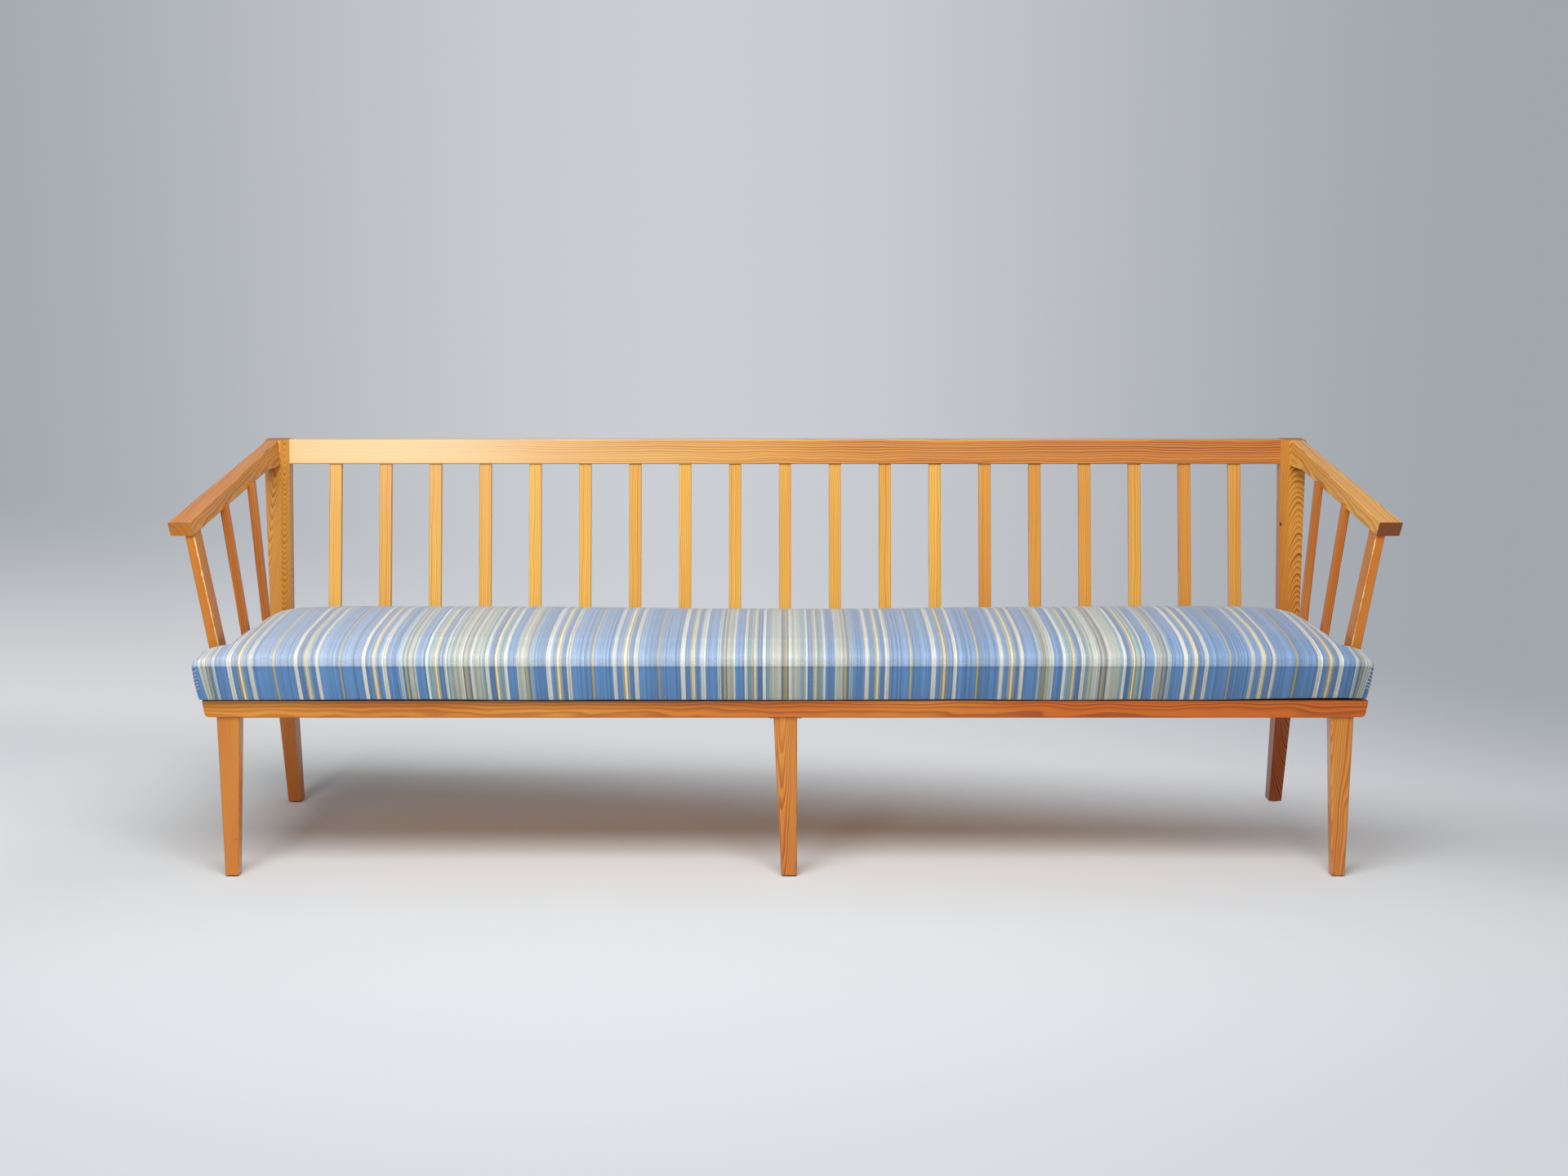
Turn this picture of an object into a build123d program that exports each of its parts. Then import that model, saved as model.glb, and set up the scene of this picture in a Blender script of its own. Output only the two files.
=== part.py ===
from build123d import *
import math
import os

# Slatted pull-out bench bed in lacquered pine, with a loose striped seat cushion.
# Millimetres. +X to the viewer's right, front towards -Y, +Z up. The origin is on
# the floor, under the middle of the bench's length and depth.

# ------------------------------------------------------------------ overall sizes
INSIDE_LENGTH = 2014.0       # between the side rails; all places along the bench follow it
OVERALL_DEPTH = 648.0        # front of the cushion to the back of the post tops
BACK_HEIGHT = 748.0          # floor to the top of the back posts and the top rail
SEAT_HEIGHT = 336.0          # floor to the top of the slats and the front rail
CUSHION_OVERHANG = 28.0      # cushion's front edge ahead of the front rail
PAD_THICKNESS = 3.0          # felt pads and glides under the feet
EASE = 2.5                   # rounding of the long edges a hand touches
SLAT_EASE = 1.5              # rounding of slats and spindles

# "OUT" sizes are measured outwards from the inner face of the side rails.

# ------------------------------------------------------------------ pull-out front
FRONT_RAIL_END_OUT = 49.0
FRONT_RAIL_DEPTH = 38.0
FRONT_RAIL_HEIGHT = 32.0
RAIL_END_SLANT = 5.0         # ends lean inwards towards the underside
RAIL_CORNER = 9.0            # rounding of the lower end corners
RAIL_TOP_CORNER = 3.0
LEG_OUTER_OUT = 25.0         # vertical outer face of the end legs
LEG_TOP_WIDTH = 42.0
LEG_FOOT_WIDTH = 25.0
MIDDLE_LEG_X = 22.0          # vertical right-hand face of the middle leg
MIDDLE_LEG_TOP_WIDTH = 43.0
MIDDLE_LEG_FOOT_WIDTH = 29.0
LEG_SETBACK_TOP = 4.0        # leg front face behind the rail front face
LEG_SETBACK_FOOT = 11.0
LEG_EASE = 4.5
TENON_WIDTH = 22.0
TENON_DEPTH = 16.0
TENON_LENGTH = 20.0
CLOSING_GAP = 2.0            # shadow gap between the front rail and the fixed frame

# ------------------------------------------------------------------ seat slats
SEAT_SLAT_THICKNESS = 14.0
SEAT_SLAT_PITCH = 48.0       # wanted pitch, fixed and sliding slats in turn
SEAT_SLAT_GAP = 3.0
SLAT_REBATE = 15.0           # how far the sliding slats lie in the front rail
SLAT_END_GAP = 3.0           # sliding slats short of the back seat rail

# ------------------------------------------------------------------ sliding gear
SLIDE_CLEARANCE = 0.5
RUNNER_WIDTH = 25.0
GUIDE_DEPTH = 10.0           # guide strip standing out from the side rail
GUIDE_HEIGHT = 12.0
GUIDE_TOP_COVER = 11.0       # runner wood above its groove
MIDDLE_RUNNER_WIDTH = 24.0
MIDDLE_RUNNER_HEIGHT = 26.0
BATTEN_DEPTH = 24.0
BATTEN_GAP = 2.0             # rear batten ahead of the ledger when closed
STOP_CLEARANCE = 0.5         # left between batten and cross rail when pulled out
KEEPER_THICKNESS = 2.0
KEEPER_DEPTH = 18.0
KEEPER_EAR = 16.0

# ------------------------------------------------------------------ fixed frame
SIDE_RAIL_THICKNESS = 28.0
SIDE_RAIL_HEIGHT = 50.0
CROSS_RAIL_DEPTH = 24.0
CROSS_RAIL_HEIGHT = 30.0
CROSS_RAIL_SETBACK = 8.0     # cross rail behind the front ends of the side rails
CROSS_TONGUE = 12.0          # what is left of the cross rail under the runners
BACK_RAIL_THICKNESS = 28.0
BACK_RAIL_HEIGHT = 60.0
BACK_RAIL_ABOVE_SEAT = 8.0
BACK_RAIL_INSET = 18.0       # back seat rail behind the post fronts at the bend
LEDGER_DEPTH = 24.0
LEDGER_HEIGHT = 22.0

# ------------------------------------------------------------------ back posts
POST_RAKE = 12.0             # degrees, lean of the back above the seat
POST_BEND_Z = 330.0          # where the post bends
POST_BEND_RADIUS = 140.0
POST_DEPTH = 49.0
POST_FOOT_DEPTH = 32.0
POST_FOOT_BACK = 21.0        # foot's front face behind the bend's
POST_FOOT_OUT = -1.0         # inner face of a post, at the floor and at its top
POST_TOP_OUT = 13.0
POST_FOOT_WIDTH = 26.0
POST_TOP_WIDTH = 48.0
CHAMFER_WIDTH = 14.0         # chamfer on the inner front corner, across
CHAMFER_DEPTH = 19.0         # and back to the face of the top rail

# ------------------------------------------------------------------ back rest
TOP_RAIL_HEIGHT = 50.0
TOP_RAIL_THICKNESS = 24.0
BACK_SLAT_COUNT = 19
BACK_SLAT_SPREAD_OUT = 21.0  # where one more slat would stand, beyond the last one
BACK_SLAT_WIDTH = 25.0
BACK_SLAT_THICKNESS = 15.0
SLAT_HOUSING = 12.0          # slat ends let into the rails

# ------------------------------------------------------------------ arms
ARM_FRONT_Y = 34.0           # arm's front end behind the front rail's face
ARM_FALL = 92.0              # front end of the arm below the post tops
ARM_FRONT_THICKNESS = 26.0
ARM_FRONT_OUT = 62.0         # inner edge of an arm, at its front and at the post
ARM_FRONT_WIDTH = 42.0
ARM_BACK_OUT = 32.0
ARM_BACK_WIDTH = 25.0
ARM_CANT = 8.0               # degrees, sides of the arm lean outwards
ARM_LEVEL_LENGTH = 68.0      # level underside where the arm meets the post
ARM_POST_BEHIND_ARM = 8.0    # arm post's front behind the arm's front end
ARM_POST_DEPTH = 46.0
ARM_POST_FOOT_WIDTH = 20.0
ARM_POST_TOP_WIDTH = 17.5
ARM_POST_FOOT_OUT = 8.5      # inner face on the side rail
ARM_POST_TOP_OUT = 59.5      # inner face under the arm
ARM_TENON_WIDTH = 10.0
ARM_TENON_DEPTH = 30.0
SPINDLE_WIDTH = 15.0
SPINDLE_DEPTH = 16.0
SPINDLE_HOUSING = 9.0
SPINDLE_PITCH = 153.0
SPINDLE_FOOT_OUT = (4.0, 7.5)        # inner faces at the seat, front one first
SPINDLE_TOP_OUT = (42.5, 30.0)       # inner faces under the arm

# ------------------------------------------------------------------ cushion
CUSHION_CLEARANCE = 0.4
CUSHION_EDGE_HEIGHT = 69.0   # front seam
CUSHION_SHOULDER_DEPTH = 73.0    # rounded shoulder above the front seam
CUSHION_SHOULDER_RISE = 41.0
CUSHION_END_SHOULDER = 200.0     # the same above the ends, across
CUSHION_END_RISE = 53.0
CUSHION_CREST_Y = 278.0      # crest behind the front seam, and above it
CUSHION_CREST_RISE = 50.0
CUSHION_BACK_HEIGHT = 66.0
EAR_OUT = 53.0               # where the cushion wraps in front of the arm posts
EAR_FOOT_NARROWER = 3.0

# ------------------------------------------------------------------ small parts
PAD_DIAMETER = 20.0
SCREW_HEAD = 8.0
SCREW_SHANK = 4.0
SCREW_LENGTH = 18.0
GUIDE_SCREW_COUNT = 4

# ------------------------------------------------------------------ derived planes
SIDE_RAIL_INNER_X = INSIDE_LENGTH / 2
FRONT_RAIL_LENGTH = 2 * (SIDE_RAIL_INNER_X + FRONT_RAIL_END_OUT)
LEG_OUTER_X = SIDE_RAIL_INNER_X + LEG_OUTER_OUT
POST_INNER_FOOT_X = SIDE_RAIL_INNER_X + POST_FOOT_OUT
POST_INNER_TOP_X = SIDE_RAIL_INNER_X + POST_TOP_OUT
BACK_SLAT_PITCH = 2 * (SIDE_RAIL_INNER_X + BACK_SLAT_SPREAD_OUT) / (BACK_SLAT_COUNT + 1)
ARM_INNER_FRONT_X = SIDE_RAIL_INNER_X + ARM_FRONT_OUT
ARM_INNER_BACK_X = SIDE_RAIL_INNER_X + ARM_BACK_OUT
ARM_POST_FOOT_X = SIDE_RAIL_INNER_X + ARM_POST_FOOT_OUT
ARM_POST_TOP_X = SIDE_RAIL_INNER_X + ARM_POST_TOP_OUT
SPINDLE_FOOT_X = tuple(SIDE_RAIL_INNER_X + out for out in SPINDLE_FOOT_OUT)
SPINDLE_TOP_X = tuple(SIDE_RAIL_INNER_X + out for out in SPINDLE_TOP_OUT)
EAR_HALF_WIDTH = SIDE_RAIL_INNER_X + EAR_OUT
CUSHION_FRONT_Y = -OVERALL_DEPTH / 2
RAIL_FRONT_Y = CUSHION_FRONT_Y + CUSHION_OVERHANG
RAIL_BACK_Y = RAIL_FRONT_Y + FRONT_RAIL_DEPTH
RAIL_BOTTOM_Z = SEAT_HEIGHT - FRONT_RAIL_HEIGHT
SLAT_BOTTOM_Z = SEAT_HEIGHT - SEAT_SLAT_THICKNESS
FRAME_FRONT_Y = RAIL_BACK_Y + CLOSING_GAP
CROSS_FRONT_Y = FRAME_FRONT_Y + CROSS_RAIL_SETBACK
CROSS_BACK_Y = CROSS_FRONT_Y + CROSS_RAIL_DEPTH
CROSS_BOTTOM_Z = SLAT_BOTTOM_Z - CROSS_RAIL_HEIGHT
SIDE_RAIL_OUTER_X = SIDE_RAIL_INNER_X + SIDE_RAIL_THICKNESS
SIDE_RAIL_BOTTOM_Z = SEAT_HEIGHT - SIDE_RAIL_HEIGHT
RAKE_SLOPE = math.tan(math.radians(POST_RAKE))
POST_TOP_FRONT_Y = OVERALL_DEPTH / 2 - POST_DEPTH
POST_BEND_Y = POST_TOP_FRONT_Y - (BACK_HEIGHT - POST_BEND_Z) * RAKE_SLOPE
BACK_RAIL_FRONT_Y = POST_BEND_Y + BACK_RAIL_INSET
BACK_RAIL_TOP_Z = SEAT_HEIGHT + BACK_RAIL_ABOVE_SEAT
LEDGER_FRONT_Y = BACK_RAIL_FRONT_Y - LEDGER_DEPTH
BATTEN_BACK_Y = LEDGER_FRONT_Y - BATTEN_GAP
BATTEN_FRONT_Y = BATTEN_BACK_Y - BATTEN_DEPTH
SLIDE_TRAVEL = BATTEN_FRONT_Y - CROSS_BACK_Y - STOP_CLEARANCE
RUNNER_OUTER_X = SIDE_RAIL_INNER_X - SLIDE_CLEARANCE
RUNNER_INNER_X = RUNNER_OUTER_X - RUNNER_WIDTH
RUNNER_BOTTOM_Z = CROSS_BOTTOM_Z + CROSS_TONGUE + SLIDE_CLEARANCE
GUIDE_TOP_Z = SEAT_HEIGHT - GUIDE_TOP_COVER - SLIDE_CLEARANCE
MIDDLE_RUNNER_BOTTOM_Z = CROSS_BOTTOM_Z - MIDDLE_RUNNER_HEIGHT
ARM_END_Y = RAIL_FRONT_Y + ARM_FRONT_Y
ARM_FRONT_HEIGHT = BACK_HEIGHT - ARM_FALL
ARM_POST_FRONT_Y = ARM_END_Y + ARM_POST_BEHIND_ARM
CANT_SLOPE = math.tan(math.radians(ARM_CANT))
REACH = 2 * FRONT_RAIL_LENGTH        # longer than anything, for cutting tools


# ------------------------------------------------------------------ shape helpers
def block(x_range, y_range, z_range):
    """Box between two corners."""
    size = [high - low for low, high in (x_range, y_range, z_range)]
    middle = [(high + low) / 2 for low, high in (x_range, y_range, z_range)]
    return Pos(*middle) * Box(*size)


def side_face(points, bend_corners=(), bend_radius=0.0):
    """Face in the side view, from (y, z) points, with chosen corners rounded."""
    face = make_face(Polyline(*points, close=True))
    for y, z in bend_corners:
        corner = face.vertices().sort_by_distance((y, z, 0))[0]
        face = fillet(corner, bend_radius)
    return face


def side_prism(face, x_low, x_high):
    """Solid of a side-view face between two X planes."""
    return extrude(Plane.YZ.offset(x_low) * face, x_high - x_low)


def front_prism(points, y_low, y_high):
    """Solid of a front-view outline of (x, z) points between two Y planes."""
    plane = Plane(origin=(0, y_high, 0), x_dir=(1, 0, 0), z_dir=(0, -1, 0))
    return extrude(plane * make_face(Polyline(*points, close=True)), y_high - y_low)


def ease_long_edges(part, radius, shortest):
    """Round every edge that is at least as long as `shortest`."""
    return fillet(part.edges().filter_by(lambda edge: edge.length >= shortest), radius)


def mirrored(part):
    """The same piece on the other side of the bench."""
    return mirror(part, about=Plane.YZ)


def post_front_y(z):
    """Front face of the back posts above their bend."""
    return POST_BEND_Y + (z - POST_BEND_Z) * RAKE_SLOPE


def post_inner_x(z):
    """Inner face of the back posts."""
    return POST_INNER_FOOT_X + (POST_INNER_TOP_X - POST_INNER_FOOT_X) * z / BACK_HEIGHT


ARM_LEVEL_Z = BACK_HEIGHT - TOP_RAIL_HEIGHT
ARM_LEVEL_Y = post_front_y(ARM_LEVEL_Z) - ARM_LEVEL_LENGTH


def arm_underside_z(y):
    """Sloping underside of the arms, ahead of the level stretch at the post."""
    front = ARM_FRONT_HEIGHT - ARM_FRONT_THICKNESS
    return front + (ARM_LEVEL_Z - front) * (y - ARM_END_Y) / (ARM_LEVEL_Y - ARM_END_Y)


def between_posts():
    """Space between the inner faces of the two back posts."""
    foot = POST_INNER_FOOT_X
    top = POST_INNER_TOP_X
    points = [(-foot, 0), (foot, 0), (top, BACK_HEIGHT), (-top, BACK_HEIGHT)]
    return front_prism(points, -OVERALL_DEPTH, OVERALL_DEPTH)


def above_arms():
    """Space above the sloping underside of the arms."""
    low_y = ARM_END_Y - OVERALL_DEPTH
    points = [(low_y, arm_underside_z(low_y)), (ARM_LEVEL_Y, ARM_LEVEL_Z),
              (ARM_LEVEL_Y, 2 * BACK_HEIGHT), (low_y, 2 * BACK_HEIGHT)]
    return side_prism(side_face(points), 0, REACH)


# ------------------------------------------------------------------ back posts
def post_side_outline():
    """Side view of a back post: foot, bend at the seat, raked upper part."""
    foot_front = POST_BEND_Y + POST_FOOT_BACK
    bend_front = (POST_BEND_Y, POST_BEND_Z)
    bend_back = (POST_BEND_Y + POST_DEPTH, POST_BEND_Z)
    points = [(foot_front, PAD_THICKNESS), bend_front,
              (POST_TOP_FRONT_Y, BACK_HEIGHT), (POST_TOP_FRONT_Y + POST_DEPTH, BACK_HEIGHT),
              bend_back, (foot_front + POST_FOOT_DEPTH, PAD_THICKNESS)]
    return side_face(points, (bend_front, bend_back), POST_BEND_RADIUS)


def post_chamfer():
    """Wedge taken off the inner front corner above the seat."""
    start = BACK_RAIL_TOP_Z
    x = post_inner_x(start)
    y = post_front_y(start)
    corners = [(x + CHAMFER_WIDTH, y), (x, y + CHAMFER_DEPTH),
               (x - CHAMFER_WIDTH, y - CHAMFER_DEPTH)]
    lean = ((POST_INNER_TOP_X - POST_INNER_FOOT_X) / BACK_HEIGHT, RAKE_SLOPE, 1.0)
    face = Pos(0, 0, start) * make_face(Polyline(*corners, close=True))
    return extrude(face, (BACK_HEIGHT - start) * 1.2, dir=lean)


def back_post():
    """Right-hand back post, leg and upright in one piece."""
    wide = side_prism(post_side_outline(), 0, REACH)
    inner = (POST_INNER_FOOT_X, POST_INNER_TOP_X)
    points = [(inner[0], 0), (inner[0] + POST_FOOT_WIDTH, 0),
              (inner[1] + POST_TOP_WIDTH, BACK_HEIGHT), (inner[1], BACK_HEIGHT)]
    post = wide & front_prism(points, -OVERALL_DEPTH, OVERALL_DEPTH)
    return post - post_chamfer()


# ------------------------------------------------------------------ back rest
def raked_slab(front_offset, thickness, z_low, z_high, x_low, x_high):
    """Slab parallel to the raked post fronts."""
    points = [(post_front_y(z_low) + front_offset, z_low),
              (post_front_y(z_high) + front_offset, z_high),
              (post_front_y(z_high) + front_offset + thickness, z_high),
              (post_front_y(z_low) + front_offset + thickness, z_low)]
    return side_prism(side_face(points), x_low, x_high)


def back_slat(x):
    """Upright slat of the back, its ends let into the two rails."""
    inset = (TOP_RAIL_THICKNESS - BACK_SLAT_THICKNESS) / 2
    slat = raked_slab(CHAMFER_DEPTH + inset, BACK_SLAT_THICKNESS,
                      BACK_RAIL_TOP_Z - SLAT_HOUSING, ARM_LEVEL_Z + SLAT_HOUSING,
                      x - BACK_SLAT_WIDTH / 2, x + BACK_SLAT_WIDTH / 2)
    return ease_long_edges(slat, SLAT_EASE, TOP_RAIL_HEIGHT * 2)


def back_slats():
    """All slats of the back, from left to right."""
    middle = (BACK_SLAT_COUNT - 1) / 2
    return [back_slat((i - middle) * BACK_SLAT_PITCH) for i in range(BACK_SLAT_COUNT)]


def back_top_rail(slats):
    """Top rail between the posts, with a mortise for each slat."""
    rail = raked_slab(CHAMFER_DEPTH, TOP_RAIL_THICKNESS, ARM_LEVEL_Z, BACK_HEIGHT,
                      -REACH / 2, REACH / 2)
    rail = ease_long_edges(rail, EASE, REACH / 2) & between_posts()
    return rail - slats


def back_seat_rail(slats):
    """Rail between the posts at the seat: it holds the slats and the ledger."""
    rail = block((-REACH / 2, REACH / 2),
                 (BACK_RAIL_FRONT_Y, BACK_RAIL_FRONT_Y + BACK_RAIL_THICKNESS),
                 (BACK_RAIL_TOP_Z - BACK_RAIL_HEIGHT, BACK_RAIL_TOP_Z))
    return (rail & between_posts()) - slats


def slat_ledger():
    """Strip on the back seat rail that the seat slats lie on."""
    return block((-RUNNER_INNER_X, RUNNER_INNER_X), (LEDGER_FRONT_Y, BACK_RAIL_FRONT_Y),
                 (SLAT_BOTTOM_Z - LEDGER_HEIGHT, SLAT_BOTTOM_Z))


# ------------------------------------------------------------------ side frames
def arm():
    """Right-hand arm: tapered in plan, falling to the front, sides canted."""
    slope = ARM_FALL / (POST_TOP_FRONT_Y - ARM_END_Y)
    end_lean = ARM_FRONT_THICKNESS * slope
    bottom_y = ARM_END_Y + end_lean
    points = [(ARM_END_Y, ARM_FRONT_HEIGHT), (POST_TOP_FRONT_Y, BACK_HEIGHT),
              (post_front_y(ARM_LEVEL_Z), ARM_LEVEL_Z), (ARM_LEVEL_Y, ARM_LEVEL_Z),
              (bottom_y, arm_underside_z(bottom_y))]
    profile = side_prism(side_face(points), 0, REACH)
    cant_at_back = ARM_FALL * CANT_SLOPE
    back_inner = ARM_INNER_BACK_X - cant_at_back
    plan = [(ARM_INNER_FRONT_X, ARM_END_Y), (ARM_INNER_FRONT_X + ARM_FRONT_WIDTH, ARM_END_Y),
            (back_inner + ARM_BACK_WIDTH, POST_TOP_FRONT_Y), (back_inner, POST_TOP_FRONT_Y)]
    canted = [extrude(Pos(0, 0, ARM_FRONT_HEIGHT) * make_face(Polyline(*plan, close=True)),
                      way * BACK_HEIGHT, dir=(CANT_SLOPE, 0, 1)) for way in (1, -1)]
    bar = profile & (canted[0] + canted[1])
    return ease_long_edges(bar, EASE, ARM_LEVEL_LENGTH * 2)


def leaning_bar(foot_x, top_x, foot_width, top_width, y_low, depth, foot_z, top_z):
    """Upright that leans outwards, wider at the foot than at the top."""
    points = [(foot_x, foot_z), (foot_x + foot_width, foot_z),
              (top_x + top_width, top_z), (top_x, top_z)]
    return front_prism(points, y_low, y_low + depth)


def arm_tenon():
    """Tenon under the arm post, in the top of the side rail."""
    middle_x = ARM_POST_FOOT_X + ARM_POST_FOOT_WIDTH / 2
    middle_y = ARM_POST_FRONT_Y + ARM_POST_DEPTH / 2
    return block((middle_x - ARM_TENON_WIDTH / 2, middle_x + ARM_TENON_WIDTH / 2),
                 (middle_y - ARM_TENON_DEPTH / 2, middle_y + ARM_TENON_DEPTH / 2),
                 (SEAT_HEIGHT - TENON_LENGTH, SEAT_HEIGHT))


def arm_post():
    """Right-hand arm post, from the side rail to the underside of the arm."""
    top_z = arm_underside_z(ARM_POST_FRONT_Y + ARM_POST_DEPTH)
    post = leaning_bar(ARM_POST_FOOT_X, ARM_POST_TOP_X, ARM_POST_FOOT_WIDTH,
                       ARM_POST_TOP_WIDTH, ARM_POST_FRONT_Y, ARM_POST_DEPTH,
                       SEAT_HEIGHT, top_z)
    post = ease_long_edges(post, EASE, ARM_POST_DEPTH * 2)
    return post - above_arms() + arm_tenon()


def arm_spindle(place):
    """Right-hand arm spindle, the front one first, let into rail and arm."""
    first_y = ARM_POST_FRONT_Y + (ARM_POST_DEPTH - SPINDLE_DEPTH) / 2
    y = first_y + (place + 1) * SPINDLE_PITCH
    top_z = arm_underside_z(y)
    lean = (SPINDLE_TOP_X[place] - SPINDLE_FOOT_X[place]) / (top_z - SEAT_HEIGHT)
    let_in = SPINDLE_HOUSING * lean
    bar = leaning_bar(SPINDLE_FOOT_X[place] - let_in, SPINDLE_TOP_X[place] + let_in,
                      SPINDLE_WIDTH, SPINDLE_WIDTH, y, SPINDLE_DEPTH,
                      SEAT_HEIGHT - SPINDLE_HOUSING, top_z + SPINDLE_HOUSING)
    return ease_long_edges(bar, SLAT_EASE, SPINDLE_DEPTH * 2)


def side_rail(housed):
    """Right-hand side rail, cut to the post front, with mortises in its top."""
    rail = block((SIDE_RAIL_INNER_X, SIDE_RAIL_OUTER_X),
                 (FRAME_FRONT_Y, POST_BEND_Y + POST_DEPTH / 2),
                 (SIDE_RAIL_BOTTOM_Z, SEAT_HEIGHT))
    rail = rail - side_prism(post_side_outline(), 0, REACH)
    return rail - housed


def guide_strip(screws):
    """Hardwood strip on the side rail, in the groove of the runner."""
    strip = block((SIDE_RAIL_INNER_X - GUIDE_DEPTH, SIDE_RAIL_INNER_X),
                  (FRAME_FRONT_Y, BATTEN_BACK_Y), (GUIDE_TOP_Z - GUIDE_HEIGHT, GUIDE_TOP_Z))
    return strip - screws


def front_cross_rail():
    """Fixed cross rail under the slats, notched over the side runners."""
    rail = block((-SIDE_RAIL_INNER_X, SIDE_RAIL_INNER_X), (CROSS_FRONT_Y, CROSS_BACK_Y),
                 (CROSS_BOTTOM_Z, SLAT_BOTTOM_Z))
    notch = block((RUNNER_INNER_X - SLIDE_CLEARANCE, SIDE_RAIL_INNER_X),
                  (CROSS_FRONT_Y, CROSS_BACK_Y),
                  (CROSS_BOTTOM_Z + CROSS_TONGUE, SLAT_BOTTOM_Z))
    return rail - notch - mirrored(notch)


def runner_keeper(screws):
    """Steel strap under the cross rail that holds the middle runner up to it."""
    inner = MIDDLE_RUNNER_WIDTH / 2 + SLIDE_CLEARANCE
    outer = inner + KEEPER_THICKNESS
    low = MIDDLE_RUNNER_BOTTOM_Z - SLIDE_CLEARANCE
    ear_z = CROSS_BOTTOM_Z - KEEPER_THICKNESS
    middle_y = (CROSS_FRONT_Y + CROSS_BACK_Y) / 2
    y_range = (middle_y - KEEPER_DEPTH / 2, middle_y + KEEPER_DEPTH / 2)
    cup = block((-outer, outer), y_range, (low - KEEPER_THICKNESS, CROSS_BOTTOM_Z))
    ears = block((-outer - KEEPER_EAR, outer + KEEPER_EAR), y_range, (ear_z, CROSS_BOTTOM_Z))
    hollow = block((-inner, inner), y_range, (low, CROSS_BOTTOM_Z))
    return cup + ears - hollow - screws


# ------------------------------------------------------------------ seat slats
def seat_slats(sliding):
    """Every second seat slat: the sliding comb or the fixed one."""
    half = RUNNER_INNER_X - SEAT_SLAT_GAP / 2
    count = 2 * round((2 * half / SEAT_SLAT_PITCH - 1) / 2) + 1
    pitch = 2 * half / count
    if sliding:
        y_range = (RAIL_BACK_Y - SLAT_REBATE, BACK_RAIL_FRONT_Y - SLAT_END_GAP)
    else:
        y_range = (FRAME_FRONT_Y, BACK_RAIL_FRONT_Y)
    slats = []
    for i in range(1 if sliding else 0, count, 2):
        x = -half + (i + 0.5) * pitch
        width = pitch - SEAT_SLAT_GAP
        slat = block((x - width / 2, x + width / 2), y_range, (SLAT_BOTTOM_Z, SEAT_HEIGHT))
        top_edges = slat.edges().filter_by(Axis.Y).group_by(Axis.Z)[-1]
        slats.append(chamfer(top_edges, SLAT_EASE))
    return slats


# ------------------------------------------------------------------ sliding unit
def front_leg(outer_x, top_width, foot_width):
    """Tapered front leg with one upright face at outer_x and a tenon on top."""
    side = [(RAIL_FRONT_Y + LEG_SETBACK_FOOT, PAD_THICKNESS), (RAIL_BACK_Y, PAD_THICKNESS),
            (RAIL_BACK_Y, RAIL_BOTTOM_Z), (RAIL_FRONT_Y + LEG_SETBACK_TOP, RAIL_BOTTOM_Z)]
    front = [(outer_x - foot_width, PAD_THICKNESS), (outer_x, PAD_THICKNESS),
             (outer_x, RAIL_BOTTOM_Z), (outer_x - top_width, RAIL_BOTTOM_Z)]
    leg = side_prism(side_face(side), -REACH / 2, REACH / 2)
    leg = leg & front_prism(front, -OVERALL_DEPTH, OVERALL_DEPTH)
    return ease_long_edges(leg, LEG_EASE, RAIL_BOTTOM_Z / 2) + leg_tenon(outer_x, top_width)


def leg_tenon(outer_x, top_width):
    """Tenon on a front leg, in the underside of the front rail."""
    x = outer_x - top_width / 2
    y = (RAIL_FRONT_Y + LEG_SETBACK_TOP + RAIL_BACK_Y) / 2
    return block((x - TENON_WIDTH / 2, x + TENON_WIDTH / 2),
                 (y - TENON_DEPTH / 2, y + TENON_DEPTH / 2),
                 (RAIL_BOTTOM_Z, RAIL_BOTTOM_Z + TENON_LENGTH))


def front_rail(legs):
    """Front rail of the sliding unit, rebated for the slats."""
    half = FRONT_RAIL_LENGTH / 2
    foot = half - RAIL_END_SLANT
    outline = make_face(Polyline((-half, SEAT_HEIGHT), (-foot, RAIL_BOTTOM_Z),
                                 (foot, RAIL_BOTTOM_Z), (half, SEAT_HEIGHT), close=True))
    outline = fillet(outline.vertices().group_by(Axis.Y)[0], RAIL_CORNER)
    outline = fillet(outline.vertices().group_by(Axis.Y)[-1], RAIL_TOP_CORNER)
    plane = Plane(origin=(0, RAIL_BACK_Y, 0), x_dir=(1, 0, 0), z_dir=(0, -1, 0))
    rail = extrude(plane * outline, FRONT_RAIL_DEPTH)
    rail = fillet(rail.faces().sort_by(Axis.Y)[0].edges(), EASE)
    rebate = block((-RUNNER_INNER_X, RUNNER_INNER_X), (RAIL_BACK_Y - SLAT_REBATE, RAIL_BACK_Y),
                   (SLAT_BOTTOM_Z, SEAT_HEIGHT))
    return rail - rebate - legs


def side_runner():
    """Right-hand runner: it slides on the guide strip in its groove."""
    runner = block((RUNNER_INNER_X, RUNNER_OUTER_X), (RAIL_BACK_Y, BATTEN_BACK_Y),
                   (RUNNER_BOTTOM_Z, SEAT_HEIGHT))
    groove = block((SIDE_RAIL_INNER_X - GUIDE_DEPTH - SLIDE_CLEARANCE, RUNNER_OUTER_X),
                   (RAIL_BACK_Y, BATTEN_BACK_Y),
                   (GUIDE_TOP_Z - GUIDE_HEIGHT - SLIDE_CLEARANCE, GUIDE_TOP_Z + SLIDE_CLEARANCE))
    return runner - groove


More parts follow.
